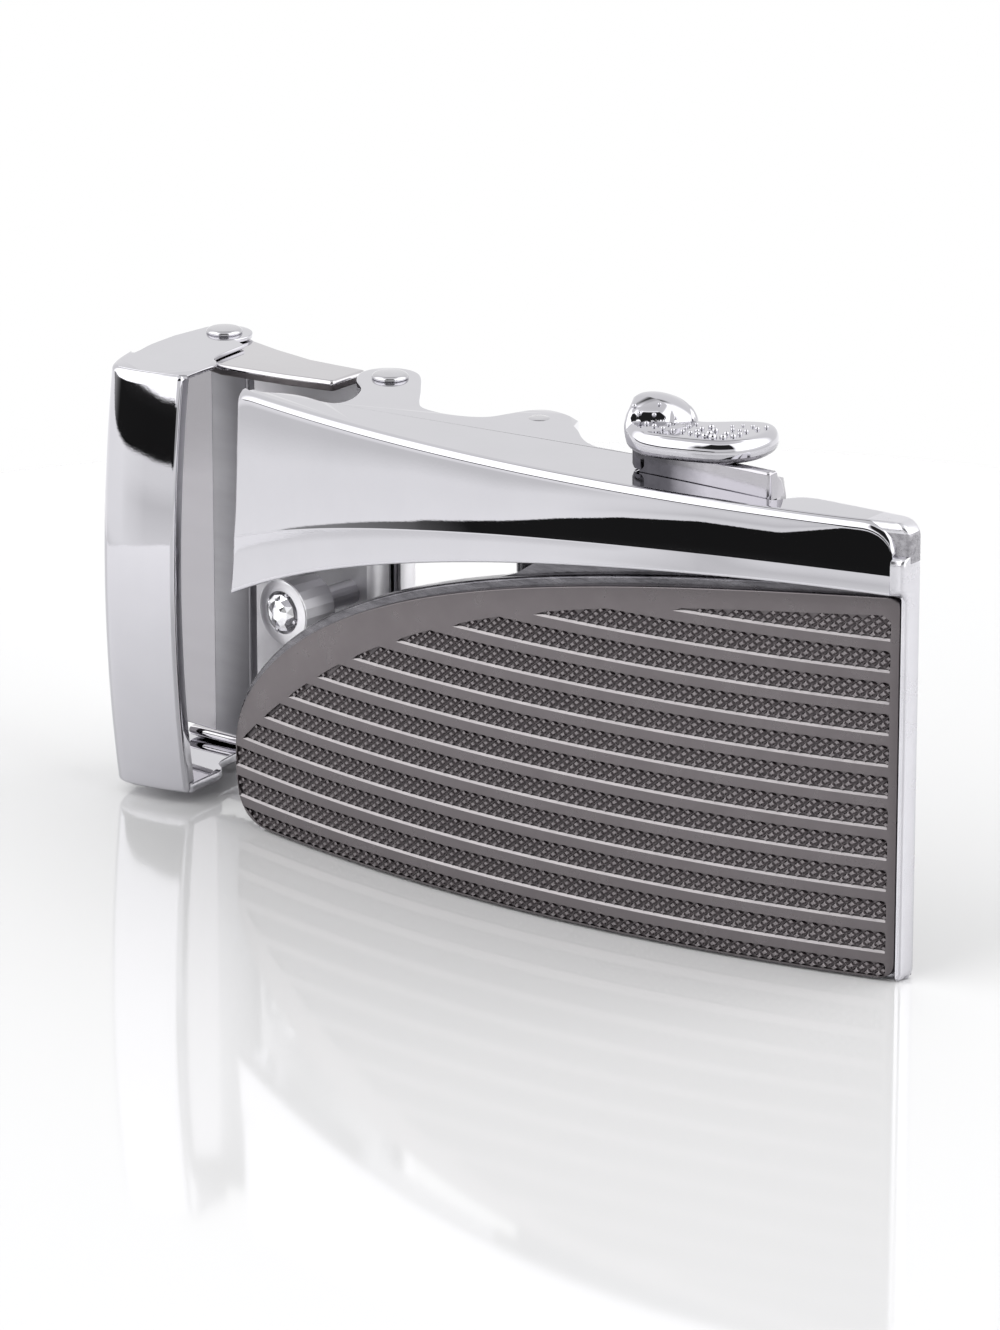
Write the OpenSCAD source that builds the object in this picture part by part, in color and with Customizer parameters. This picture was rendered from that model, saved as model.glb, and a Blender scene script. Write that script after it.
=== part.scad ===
// Automatic sliding buckle for a strap: a cast body with a swept upper face and a
// ribbed front panel, a hinged strap clamp with a domed keeper loop, a release lever
// on a pawl, and a stone set in the clamp's stud.
// It stands on its lower long edge. +X runs along the buckle away from the strap
// clamp, +Y runs from the front face to the wearer, and +Z runs across the strap.

/* [Body] */
// Height of the body, across the strap
body_h = 39.1; // [38.9:0.1:39.4]
// Radius of the bow in the front face, seen from above
bow_r = 131.5; // [125:0.5:140]
// Thickness of the top and bottom side walls
wall_t = 1.0; // [0.8:0.1:1.2]
// Thickness of the upper face
face_t = 2.2; // [1.8:0.1:2.6]
// How far the swept lip stands in front of the face
lip_out = 1.2; // [0.6:0.1:1.5]
// Bevel along the top front edge
edge_bevel = 0.7; // [0.3:0.1:0.9]
// Width of the cast step that shows round the panel
base_step = 0.75; // [0.4:0.05:1]

/* [Panel] */
// Thickness of the ribbed panel
panel_t = 0.8; // [0.6:0.05:1.2]
// Number of smooth ribs
rib_count = 11; // [9:1:11]
// Distance from one rib to the next
rib_pitch = 2.678; // [2.6:0.01:2.7]
// Height of each smooth rib
rib_h = 1.05; // [0.8:0.05:1.3]
// Depth of the textured bands between the ribs
band_depth = 0.3; // [0.1:0.05:0.4]
// Width of the plain rim round the bands, at the right-hand end
rim_w = 0.5; // [0.3:0.1:1]

/* [Clamp] */
// Thickness of the sheet that the clamp and the loop are made of
sheet_t = 1.1; // [1:0.05:1.15]
// Radius of the two pins that run right across the buckle
pin_r = 1.0; // [0.8:0.05:1.1]
// Radius of the shank of the short loop rivets
rivet_r = 0.8; // [0.6:0.05:0.9]
// Radius of the domed heads of the pin and the rivets
head_r = 1.6; // [1.4:0.1:1.9]
// Radius of the dome down the front of the loop
dome_r = 90; // [80:1:110]

/* [Stud] */
// Diameter of the head of the clamp's stud
stud_d = 5.8; // [5:0.1:6.2]
// Length of that head
stud_l = 3.7; // [3:0.1:4.2]
// Diameter of the stone across its girdle
stone_d = 3.0; // [2.6:0.1:3.2]

/* [Lever] */
// Diameter of the beads on the thumb pad
bead_d = 1.0; // [0.6:0.05:1.1]
// Height of the underside of the thumb pad
pad_z = 41.3; // [41:0.1:42]

/* [Hidden] */
$fn = 64;

// The outlines below are measured from the front of the bow; this shift puts the
// origin under the middle of the whole buckle.
mid_x = -4.86;
mid_y = 9.55;

fit_gap = 0.02;
run_gap = 0.06;
seat_gap = 0.05;

// Bow of the front face
apex_x = 0.43;
sector = 40;

// Levels of the side walls, the loop's ears and the clamp's arms
wall_top = body_h - wall_t;
ear_t = 0.95;
loop_z0 = 1.0;
loop_z1 = wall_top + ear_t;
arm_top_z1 = wall_top - 0.1;
arm_top_z0 = arm_top_z1 - sheet_t;
arm_low_z0 = loop_z0 + ear_t + 0.1;
arm_low_z1 = arm_low_z0 + sheet_t;

// Pins and rivets, as [x, y]
hinge = [-23, 14.8];
loop_pivot = [-43.8, 17.8];
pawl_pivot = [-5.3, 12.5];

// Ends of the body
end_x = 37.1;
panel_end_x = 36.25;
rear_y = 7.3;
base_depth = 2.4;

// Curves
function bezier(p, n) = [for (i = [0:n]) let (t = i / n, s = 1 - t)
    s*s*s*p[0] + 3*s*s*t*p[1] + 3*s*t*t*p[2] + t*t*t*p[3]];

function spline_point(a, b, c, d, t) =
    0.5 * (2*b + (c - a)*t + (2*a - 5*b + 4*c - d)*t*t + (3*b - a - 3*c + d)*t*t*t);

function smooth(p, n) = concat(
    [for (i = [0:len(p) - 2], j = [0:n - 1])
        spline_point(p[max(i - 1, 0)], p[i], p[i + 1], p[min(i + 2, len(p) - 1)], j / n)],
    [p[len(p) - 1]]);

function normal(a, b) = [a[1] - b[1], b[0] - a[0]] / norm(b - a);

// The same curve moved sideways by d, to its left
function grown(c, d) = [for (i = [0:len(c) - 1])
    c[i] + d * normal(c[max(i - 1, 0)], c[min(i + 1, len(c) - 1)])];

function reversed(p) = [for (i = [len(p) - 1:-1:0]) p[i]];

// y of the front face at x, at a depth behind it
function bow_y(x, depth = 0) = bow_r - sqrt(pow(bow_r - depth, 2) - pow(x - apex_x, 2));

// Outlines in the front view, as [x, z]
panel_arc = concat(
    bezier([[-31.85, 6.5], [-31.95, 10.4], [-29.1, 13.6], [-26.3, 16.1]], 8),
    [for (i = [1:14]) bezier([[-26.3, 16.1], [-12.3, 28.43], [15.9, 31.76], [35.4, 32.9]], 14)[i]]);
panel_low_corner = bezier([[-27.2, 0.2], [-30.8, 0.2], [-32.0, 1.8], [-31.85, 6.5]], 8);
band_arc = bezier([[-30.9, 7.7], [-9.5, 28.6], [17.1, 29.6], [35.8, 31.4]], 18);
crease = bezier([[-31.2, 26.1], [-11.98, 33.2], [18.39, 35.29], [36.8, 34.9]], 16);
lip_edge = bezier([[-31.2, 21.1], [-10.65, 31.51], [20.66, 33.75], [36.8, 33.2]], 16);

// Rear edge of the side walls from left to right, as [x, y]
tail_edge = smooth([[-30.1, 5.6], [-29.2, 6.6], [-27.0, 7.3], [-24.6, 7.0], [-22.5, 6.2],
                    [-21.4, 6.9], [-21.7, 8.6], [-23.2, 11.0], [-25.2, 12.9], [-26.2, 15.0],
                    [-25.6, 17.0], [-23.8, 17.9], [-21.6, 17.2], [-18.7, 13.6], [-16.6, 10.7],
                    [-13.9, 9.7], [-11.2, 10.5], [-9.3, 12.3], [-7.7, 14.8], [-5.7, 15.6],
                    [-3.4, 15.0], [-2.3, 13.8]], 4);
waist_edge = smooth([[-1.7, 12.4], [-0.6, 10.9], [1.2, 9.7], [3.6, 8.9]], 4);
notch_x0 = 10.3;
notch_x1 = 24.2;
notch_y = 4.4;
top_right_edge = [[notch_x0, 8.9], [notch_x0, notch_y], [notch_x1, notch_y + 0.1],
                  [25.4, 6.9], [27.0, rear_y]];
low_right_edge = [[notch_x0, 8.3], [27.0, rear_y]];

module placed() {
    translate([-mid_x, -mid_y, 0]) children();
}

// A ring that follows the bow; profile points are [depth behind the face, z]
module bow_ring(profile) {
    translate([apex_x, bow_r, 0])
        rotate([0, 0, -90 - sector / 2])
            rotate_extrude(angle = sector, $fn = 720)
                polygon([for (p = profile) [bow_r - p[0], p[1]]]);
}

module bow_slab(depth0, depth1, z0, z1) {
    bow_ring([[depth0, z0], [depth1, z0], [depth1, z1], [depth0, z1]]);
}

// A front-view outline pushed through the whole depth
module through_front(outline) {
    translate([0, 30, 0]) rotate([90, 0, 0]) linear_extrude(40) polygon(outline);
}

module plate(outline, z0, z1) {
    translate([0, 0, z0]) linear_extrude(z1 - z0) polygon(outline);
}

module post(at, r, z0, z1) {
    translate([at[0], at[1], z0]) cylinder(h = z1 - z0, r = r);
}

// Domed rivet head that stands on z = 0
module domed_head(r, h) {
    sphere_r = (r * r + h * h) / (2 * h);
    rotate_extrude()
        polygon(concat([[0, 0]], [for (i = [0:8]) let (a = asin(r / sphere_r) * (1 - i / 8))
            [sphere_r * sin(a), sphere_r * cos(a) - sphere_r + h]]));
}

function wall_outline(right_edge) = concat(
    [for (i = [0:12]) let (x = -30.1 + (end_x - 0.3 + 30.1) * i / 12) [x, bow_y(x, 1.2)]],
    [[end_x - 0.3, rear_y]],
    reversed(concat(tail_edge, waist_edge, right_edge)));

// Upper face: thick at its bevelled top edge, with the swept lip along its foot
module upper_face() {
    intersection() {
        through_front(concat([[-30.3, body_h + 1], [-30.3, body_h - 1.4], [-30.6, body_h - 3]],
                             crease, [[end_x - 0.2, body_h + 1]]));
        bow_ring([[0, 20], [0, body_h - edge_bevel], [edge_bevel, body_h],
                  [face_t, body_h], [face_t, 20]]);
    }
    intersection() {
        through_front(concat(crease, reversed(lip_edge)));
        bow_slab(-lip_out / 2, face_t, 20, 36);
    }
    intersection() {
        through_front(concat(grown(crease, -0.45), reversed(grown(lip_edge, 0.35))));
        bow_slab(-lip_out, face_t, 20, 36);
    }
}

// Step under the panel, with the web that closes the window at its right-hand end
module panel_base() {
    seat = panel_t + seat_gap;
    intersection() {
        through_front(concat([[-26.5, 0], [-30.2, 0.8], [-31.5, 3.0]],
                             grown(panel_arc, base_step), [[end_x - 0.2, 33.6], [end_x - 0.2, 0]]));
        bow_slab(seat, base_depth, 0, body_h);
    }
    intersection() {
        through_front([[-6, 25], [-4.5, 27.4], [0.5, 29.2], [2.6, 30.6], [8, 33],
                       [end_x - 0.2, 34.5], [end_x - 0.2, 25]]);
        bow_slab(1.6, base_depth, 25, 35);
    }
}

module right_end() {
    x0 = panel_end_x + 0.1;
    intersection() {
        plate([[x0, bow_y(x0, 0.4)], [end_x - 0.35, bow_y(end_x - 0.35, 0.1)], [end_x, bow_y(end_x, 0.3)],
               [end_x, rear_y], [x0, rear_y]], 0.02, body_h - 0.02);
        through_front([[x0 - 1, -1], [end_x - 0.7, -1], [end_x - 0.7, 0], [end_x, 0.9],
                       [end_x, body_h - 2.2], [end_x - 0.5, body_h - 0.8], [end_x - 1.5, body_h + 1],
                       [x0 - 1, body_h + 1]]);
    }
}

module side_walls() {
    difference() {
        union() {
            plate(wall_outline(top_right_edge), wall_top, body_h);
            plate(wall_outline(low_right_edge), 0, wall_t);
        }
        post(hinge, pin_r + fit_gap, -1, body_h + 1);
        post(pawl_pivot, pin_r + fit_gap, -1, body_h + 1);
    }
}

module casting() {
    color("silver") placed() {
        upper_face();
        panel_base();
        right_end();
        side_walls();
    }
}

// z of the foot of rib number k
function rib_z(k) = 1.58 + rib_pitch * k;

// Front view of the panel, with its two right-hand corners rounded
panel_outline = concat(panel_low_corner, panel_arc,
    [[panel_end_x, 32.4], [panel_end_x, 1.4], [panel_end_x - 0.4, 0.5], [panel_end_x - 1.2, 0.2]]);

// Front view of the textured area between the ribs
band_area = concat([[-40, -2], [-40, 7.7]], band_arc,
    [[panel_end_x - rim_w, 31.4], [panel_end_x - rim_w, -2]]);

// Section of the band above rib number k, as [depth, z]; the upper edge of each rib
// is bevelled so that it catches the light
function band_profile(k) =
    let (low = k < 0 ? -1 : rib_z(k) + rib_h, high = k == rib_count - 1 ? 34 : rib_z(k + 1))
    [[-1, low - 0.3], [-0.08, low - 0.3], [0.12, low], [band_depth, low], [band_depth, high], [-1, high]];

module panel() {
    color("dimgray") placed() {
        difference() {
            intersection() {
                through_front(panel_outline);
                bow_slab(0, panel_t, 0, 34);
            }
            for (k = [-1:rib_count - 1])
                intersection() {
                    bow_ring(band_profile(k));
                    through_front(band_area);
                }
        }
    }
}

// The clamp's back plate: local x along the plate, y out of its back
plate_angle = -7.1;
plate_l = 15.6;

module at_back_plate() {
    translate([-41.1, 19.4, 0]) rotate([0, 0, plate_angle]) children();
}

module clamp_frame() {
    arm_top = concat([[-38.6, 11.9], [-27.95, 13.8], [-27.95, 17.7], [-36.4, 19.2], [-41.3, 20.2]],
                     [for (a = [100:20:200]) loop_pivot + 2.2 * [cos(a), sin(a)]],
                     [[-45.3, 15.6], [-44.6, 12.3]]);
    arm_low = concat([[-45.9, 14.7], [-36.0, 14.6], [-27.95, 14.6], [-27.95, 17.7], [-36.4, 19.2], [-41.3, 20.2]],
                     [for (a = [100:20:180]) loop_pivot + 2.2 * [cos(a), sin(a)]]);
    color("lightgray") placed() {
        difference() {
            union() {
                plate(arm_top, arm_top_z0, arm_top_z1);
                plate(arm_low, arm_low_z0, arm_low_z1);
                at_back_plate()
                    translate([0, -sheet_t, arm_low_z0]) cube([plate_l, sheet_t, arm_top_z1 - arm_low_z0]);
                post(hinge, 2.1, arm_low_z1, arm_top_z0);
                plate([[-26.6, 17.6], [-22.6, 16.85], [-22.8, 15.9], [-26.2, 16.3]], arm_low_z1, arm_top_z0);
            }
            post(hinge, pin_r + run_gap, 0, body_h);
            translate([hinge[0], hinge[1], 8])
                rotate([0, 0, -43]) translate([0, -0.6, 0]) cube([4, 1.2, body_h - 16]);
            post(loop_pivot, rivet_r + fit_gap, 0, body_h);
            at_back_plate() translate([stud_x, 1, stud_z])
                rotate([90, 0, 0]) cylinder(h = 4, r = shank_r + fit_gap);
        }
    }
}

// Stud of the clamp, seen through the window
stud_x = 12.3;
stud_z = 18.2;
stud_reach = 9.5;
shank_r = 1.1;
cup_depth = 1.2;

module at_stud() {
    at_back_plate() translate([stud_x, -stud_reach, stud_z]) rotate([-90, 0, 0]) children();
}

module stud() {
    color("silver") placed() at_stud() {
        difference() {
            union() {
                cylinder(h = stud_l, d = stud_d);
                cylinder(h = stud_reach, r = shank_r);
            }
            translate([0, 0, -1]) cylinder(h = 1 + cup_depth, d = stone_d + 0.1);
        }
    }
}

// Round stone with a table, twelve crown facets and a pointed pavilion
module crystal() {
    girdle = stone_d / 2;
    color("white") placed() at_stud() translate([0, 0, 0.15]) {
        translate([0, 0, -0.45]) cylinder(h = 0.45, r1 = girdle * 0.55, r2 = girdle, $fn = 12);
        cylinder(h = 0.1, r = girdle, $fn = 12);
        translate([0, 0, 0.1]) cylinder(h = 0.85, r1 = girdle, r2 = 0.1, $fn = 12);
    }
}

module hinge_pin() {
    color("silver") placed() {
        post(hinge, pin_r, 0, body_h);
        translate([hinge[0], hinge[1], body_h]) domed_head(head_r, 0.5);
    }
}

module loop_rivet() {
    cylinder(h = arm_top_z0 - loop_z1, r = rivet_r);
    domed_head(head_r, 0.5);
}

module loop_rivet_top() {
    color("silver") placed() {
        post(loop_pivot, rivet_r, arm_top_z0 - 0.3, loop_z1);
        post(loop_pivot, rivet_r + 0.3, arm_top_z0 - 0.3, arm_top_z0);
        translate([loop_pivot[0], loop_pivot[1], loop_z1]) domed_head(head_r, 0.5);
    }
}

module loop_rivet_bottom() {
    color("silver") placed() {
        post(loop_pivot, rivet_r, loop_z0, arm_low_z1 + 0.3);
        post(loop_pivot, rivet_r + 0.3, arm_low_z1, arm_low_z1 + 0.3);
        translate([loop_pivot[0], loop_pivot[1], loop_z0]) mirror([0, 0, 1]) domed_head(head_r, 0.5);
    }
}

// Domed face of the loop: its plan section turned about a level axis behind it
face_angle = 12;
loop_face_t = 1.3;
face_corner = [-37.2, 2.5];

module loop_face() {
    outer = smooth([[-0.3, 0], [-3.4, -0.1], [-6.2, -0.03], [-7.25, 0.35], [-7.75, 1.35], [-8.0, 3.4], [-8.2, 5.4]], 4);
    inner = smooth([[loop_face_t - 8.2, 5.4], [loop_face_t - 8.0, 3.4], [loop_face_t - 7.6, 2.0],
                    [-5.4, loop_face_t], [-3.4, loop_face_t - 0.1], [0, loop_face_t]], 3);
    section = concat([[0, 0.35]], outer, inner);
    intersection() {
        translate([face_corner[0], face_corner[1], (loop_z0 + loop_z1) / 2])
            rotate([0, 0, face_angle])
                translate([0, dome_r, 0])
                    rotate([0, 90, 0])
                        rotate([0, 0, -104]) rotate_extrude(angle = 28, $fn = 720)
                            polygon([for (p = section) [dome_r - p[1], p[0]]]);
        translate([-60, -5, loop_z0]) cube([40, 30, loop_z1 - loop_z0]);
    }
}

function ear_outline() = concat(
    [[-37.15, 5.0], [-37.4, 9.5], [-39.4, 10.75], [-40.0, 16.1]],
    [for (a = [-30:20:170]) loop_pivot + 2.5 * [cos(a), sin(a)]],
    [[-46.7, 14.4]],
    smooth([[-46.5, 11.0], [-45.9, 8.2], [-45.1, 5.6], [-43.8, 4.3], [-40.6, 4.6], [-37.15, 5.0]], 3));

module loop() {
    jaw_angle = -6;
    color("gainsboro") placed() {
        difference() {
            union() {
                loop_face();
                plate(ear_outline(), wall_top, loop_z1);
                plate(ear_outline(), loop_z0, loop_z0 + ear_t);
                translate([-46.5, 14.2, 0]) rotate([0, 0, jaw_angle]) {
                    translate([0, -1, loop_z0 + 0.4]) cube([1, 1, loop_z1 - loop_z0 - 0.8]);
                    translate([0, -1, arm_low_z1 + 0.9]) cube([8.5, 1, arm_top_z0 - arm_low_z1 - 1.8]);
                    for (x = [5.2:1.1:7.4])
                        translate([x, 0, arm_low_z1 + 0.9])
                            linear_extrude(arm_top_z0 - arm_low_z1 - 1.8)
                                polygon([[0, -0.2], [1, -0.2], [1, 0.8]]);
                }
            }
            post(loop_pivot, rivet_r + run_gap, 0, body_h);
        }
    }
}

// Pawl: a barrel on its pin, a plate with a tooth behind the strap, and a bridge
// that carries the lever's ear up through the notch in the top wall
ear_x0 = 10.8;
ear_x1 = 23.8;
ear_y0 = 4.7;
pawl_x1 = 21.0;
pawl_y = 9.7;

module pawl() {
    pawl_z0 = wall_t + 0.8;
    pawl_z1 = wall_top - 0.9;
    plate_plan = [[ear_x0, pawl_y], [pawl_x1, pawl_y], [pawl_x1, pawl_y + sheet_t], [ear_x0, pawl_y + sheet_t]];
    color("gray") placed() {
        difference() {
            union() {
                post(pawl_pivot, 1.9, pawl_z0, pawl_z1);
                plate([[-6.0, 10.75], [ear_x0, pawl_y], [ear_x1, pawl_y], [ear_x1, pawl_y + sheet_t],
                       [ear_x0, pawl_y + sheet_t], [-5.0, 11.9]], pawl_z0, pawl_z1);
            }
            post(pawl_pivot, pin_r + run_gap, 0, body_h);
        }
        plate([[14, pawl_y + 0.1], [15.4, pawl_y - 1.4], [16, pawl_y - 1.4], [16, pawl_y + 0.1]],
              6, body_h - 6);
        plate(plate_plan, pawl_z1 - 0.5, body_h - 0.1);
        plate([[ear_x0, ear_y0], [ear_x1, ear_y0], [ear_x1, ear_y0 + 2.4],
               [pawl_x1, pawl_y + sheet_t], [ear_x0, pawl_y + sheet_t]], wall_top, body_h - 0.1);
        plate([[ear_x0, ear_y0], [ear_x1, ear_y0], [ear_x1, ear_y0 + sheet_t], [ear_x0, ear_y0 + sheet_t]],
              wall_top, pad_z);
        // The ear's right-hand end turns back and slopes down to the bridge
        translate([ear_x1 - sheet_t, 0, 0]) rotate([90, 0, 90]) linear_extrude(sheet_t)
            polygon([[ear_y0 + 0.1, wall_top + 0.1], [ear_y0 + 2.3, wall_top + 0.1], [ear_y0 + 2.3, body_h + 0.3],
                     [ear_y0 + 1.9, body_h + 1.2], [ear_y0 + 1.1, body_h + 1.9], [ear_y0 + 0.1, pad_z - 0.1]]);
        post([ear_x0 - 0.1, ear_y0 + 0.75], 0.95, body_h + 0.1, pad_z);
    }
}

// Thumb pad: a puffed heart with its point to the front and beads along its brow.
// Its outline is given as [across, back] in a plan turned by pad_angle.
pad_angle = 37;
pad_left = [13.4, -3.4];
pad_right = [20.2, -4.9];
pad_tip = [17.5, -7.4];
pad_h = 2.1;
brow = smooth([[11.2, -2.2], [12.2, -3.9], [15.3, -6.0], [17.3, -7.9], [19.3, -7.6], [20.9, -5.6], [22.3, -4.6]], 5);

module puck(at, r, h) {
    round_r = h / 2;
    translate([at[0], at[1], 0]) rotate_extrude($fn = 32)
        polygon(concat([[0, 0]],
                       [for (a = [-90:30:90]) [r - round_r * 0.8 + round_r * 0.8 * cos(a), round_r + round_r * sin(a)]],
                       [[0, h]]));
}

module pad_hump() {
    cap_h = 2.2;
    cap_r = 2.9;
    ball_r = (cap_r * cap_r + cap_h * cap_h) / (2 * cap_h);
    translate([pad_left[0], pad_left[1] + 0.6, pad_h - 0.1]) rotate_extrude($fn = 48)
        polygon(concat([[0, 0]], [for (i = [0:6]) let (a = asin(cap_r / ball_r) * (1 - i / 6))
            [ball_r * sin(a), ball_r * cos(a) - ball_r + cap_h]]));
}

module bead_row(shift, first, last) {
    for (i = [first:2:last])
        translate([brow[i][0], brow[i][1] + shift, pad_h - 0.1]) sphere(d = bead_d, $fn = 24);
}

module lever_pad() {
    color("silver") placed() translate([0, 0, pad_z]) rotate([0, 0, pad_angle]) {
        hull() {
            puck(pad_left, 3.2, pad_h);
            puck(pad_tip, 1.6, pad_h);
        }
        hull() {
            puck(pad_right, 2.7, pad_h);
            puck(pad_tip, 1.6, pad_h);
        }
        pad_hump();
        bead_row(0.3, 1, 27);
        bead_row(1.5, 12, 26);
        bead_row(2.6, 16, 24);
    }
}

module pawl_pin() {
    color("silver") placed() post(pawl_pivot, pin_r, 0, body_h);
}

casting();
panel();
clamp_frame();
hinge_pin();
loop_rivet_top();
loop_rivet_bottom();
stud();
crystal();
loop();
pawl();
lever_pad();
pawl_pin();
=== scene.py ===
"""Sliding buckle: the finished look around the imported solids.

Every outline is given in the maker's millimetres, measured from the front of the
bow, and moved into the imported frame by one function. +X runs along the buckle away
from the strap clamp, +Y from the front face to the wearer and +Z across the strap.
"""
from __future__ import annotations

import logging
import math
from collections.abc import Callable, Sequence
from dataclasses import dataclass, field
from enum import Enum
from typing import NamedTuple

import bmesh
import bpy
from mathutils import Matrix, Vector, geometry


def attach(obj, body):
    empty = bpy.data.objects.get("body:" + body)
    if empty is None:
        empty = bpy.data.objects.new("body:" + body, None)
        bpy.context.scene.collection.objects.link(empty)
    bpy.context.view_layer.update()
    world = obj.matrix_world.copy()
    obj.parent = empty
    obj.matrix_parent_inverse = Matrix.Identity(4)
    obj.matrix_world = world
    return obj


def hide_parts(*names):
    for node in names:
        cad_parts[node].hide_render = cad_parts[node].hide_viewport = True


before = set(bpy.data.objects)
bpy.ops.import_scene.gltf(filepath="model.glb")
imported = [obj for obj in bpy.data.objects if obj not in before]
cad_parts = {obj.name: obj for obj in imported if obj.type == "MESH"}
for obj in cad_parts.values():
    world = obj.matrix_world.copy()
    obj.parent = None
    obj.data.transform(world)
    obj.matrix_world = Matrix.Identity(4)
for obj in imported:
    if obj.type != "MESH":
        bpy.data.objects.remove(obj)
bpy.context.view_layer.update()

LOG = logging.getLogger("buckle")

MM = 0.001
MID_X = -4.86
MID_Y = 9.55
QUARTER = math.pi / 2
# Radius of a turned form at its axis, and the distance, in metres, within which two
# points are one.
AXIS_R = 1e-4
SAME_POINT = 1e-7
# Faces with more corners than this are cut into triangles.
MOST_CORNERS = 8
FLAT_WEIGHT = 80

Point2 = tuple[float, float]
Point3 = tuple[float, float, float]
Piece = bpy.types.Object
Material = bpy.types.Material
Tree = bpy.types.NodeTree
Socket = bpy.types.NodeSocket


class Body(Enum):
    """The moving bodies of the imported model."""

    BODY = "body"
    CLAMP = "clamp"
    LOOP = "loop"
    PAWL = "pawl"


class Slot(Enum):
    """The record's material slots."""

    CHROME = "chrome"
    GUNMETAL = "gunmetal"
    NICKEL = "nickel"
    STEEL = "steel"
    DARK_STEEL = "dark_steel"
    CRYSTAL = "crystal"


def bezier(p: Sequence[Point2], n: int) -> list[Point2]:
    """Points on a cubic curve.

    Args:
        p: the four control points.
        n: how many spans.

    Returns:
        n + 1 points.
    """
    out = []
    for i in range(n + 1):
        t = i / n
        s = 1 - t
        w = (s * s * s, 3 * s * s * t, 3 * s * t * t, t * t * t)
        out.append((sum(a * q[0] for a, q in zip(w, p)), sum(a * q[1] for a, q in zip(w, p))))
    return out


def smooth(p: Sequence[Point2], n: int) -> list[Point2]:
    """A smooth line through points.

    Args:
        p: the points that it passes through.
        n: spans between two of them.

    Returns:
        The points of the line.
    """
    out: list[Point2] = []
    last = len(p) - 1
    for i in range(last):
        a, b, c, d = p[max(i - 1, 0)], p[i], p[i + 1], p[min(i + 2, last)]
        for j in range(n):
            t = j / n
            out.append(tuple(
                0.5 * (2 * b[k] + (c[k] - a[k]) * t
                       + (2 * a[k] - 5 * b[k] + 4 * c[k] - d[k]) * t * t
                       + (3 * b[k] - a[k] - 3 * c[k] + d[k]) * t ** 3)
                for k in (0, 1)))
    out.append(tuple(p[last]))
    return out


def quarter(n: int, first: int = 0) -> list[float]:
    """Angles of a quarter turn in n steps, from its first one given."""
    return [QUARTER * i / n for i in range(first, n + 1)]


def evenly(a: float, b: float, n: int) -> list[float]:
    """Values from a to b in n even steps."""
    return [a + (b - a) * i / n for i in range(n + 1)]


def part_way(value: float, start: float, end: float) -> float:
    """How far a value has come from start to end, kept between 0 and 1."""
    return min(max((value - start) / (end - start), 0.0), 1.0)


def round_off(share: float) -> float:
    """How far a round of radius 1 has fallen, that share of its width from its top."""
    return 1 - math.sqrt(1 - share * share)


def height_at(curve: Sequence[Point2], x: float) -> float:
    """Height of a left-to-right line at x.

    Args:
        curve: its points, from left to right.
        x: where to read it.

    Returns:
        The height, held at the ends.
    """
    if x <= curve[0][0]:
        return curve[0][1]
    for a, b in zip(curve, curve[1:]):
        if a[0] <= x <= b[0] and b[0] > a[0]:
            return a[1] + (b[1] - a[1]) * (x - a[0]) / (b[0] - a[0])
    return curve[-1][1]


def grown(curve: Sequence[Point2], d: float) -> list[Point2]:
    """The same open line moved sideways, to its left.

    Args:
        curve: its points.
        d: how far.

    Returns:
        The moved points.
    """
    out = []
    for i, p in enumerate(curve):
        a, b = curve[max(i - 1, 0)], curve[min(i + 1, len(curve) - 1)]
        m = math.dist(a, b)
        out.append((p[0] + d * (a[1] - b[1]) / m, p[1] + d * (b[0] - a[0]) / m))
    return out


def area(outline: Sequence[Point2]) -> float:
    """Signed area of a closed outline, above zero where it runs anticlockwise."""
    return 0.5 * sum(a[0] * b[1] - b[0] * a[1] for a, b in zip(outline, [*outline[1:], outline[0]]))


def inset(outline: Sequence[Point2], d: float, held: Sequence[bool] | None = None) -> list[Point2]:
    """A closed outline drawn in by d.

    Args:
        outline: its points, anticlockwise.
        d: how far each side moves in.
        held: for each point, whether it stays where it is.

    Returns:
        The new points, one for each old one.
    """
    out = []
    n = len(outline)
    for i, p in enumerate(outline):
        a, b = outline[i - 1], outline[(i + 1) % n]
        e0 = Vector((p[0] - a[0], p[1] - a[1]))
        e1 = Vector((b[0] - p[0], b[1] - p[1]))
        if (held and held[i]) or e0.length < 1e-9 or e1.length < 1e-9:
            out.append(p)
            continue
        n0 = Vector((-e0.y, e0.x)).normalized()
        n1 = Vector((-e1.y, e1.x)).normalized()
        m = n0 + n1
        m = m / max(m.length_squared / 2, 0.5)
        out.append((p[0] + m.x * d, p[1] + m.y * d))
    return out


def drawn_in(outline: Sequence[Point2], d: float) -> list[Point2]:
    """A closed outline drawn in by d, whichever way it runs."""
    return inset(outline, d) if area(outline) > 0 else inset(outline[::-1], d)[::-1]


def arc(cx: float, cy: float, r: float, a0: float, a1: float, n: int) -> list[Point2]:
    """Points on an arc, with its angles in degrees."""
    turns = [math.radians(a) for a in evenly(a0, a1, n)]
    return [(cx + r * math.cos(a), cy + r * math.sin(a)) for a in turns]


def circle(r: float, z: float, n: int, centre: Point2 = (0.0, 0.0),
           turn: float = 0.0) -> list[Point3]:
    """Points of a level circle.

    Args:
        r: its radius.
        z: its height.
        n: how many points.
        centre: where its middle stands.
        turn: how far it is turned, in steps from point to point.

    Returns:
        The points, anticlockwise.
    """
    turns = [2 * math.pi * (i + turn) / n for i in range(n)]
    return [(centre[0] + r * math.cos(a), centre[1] + r * math.sin(a), z) for a in turns]


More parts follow.
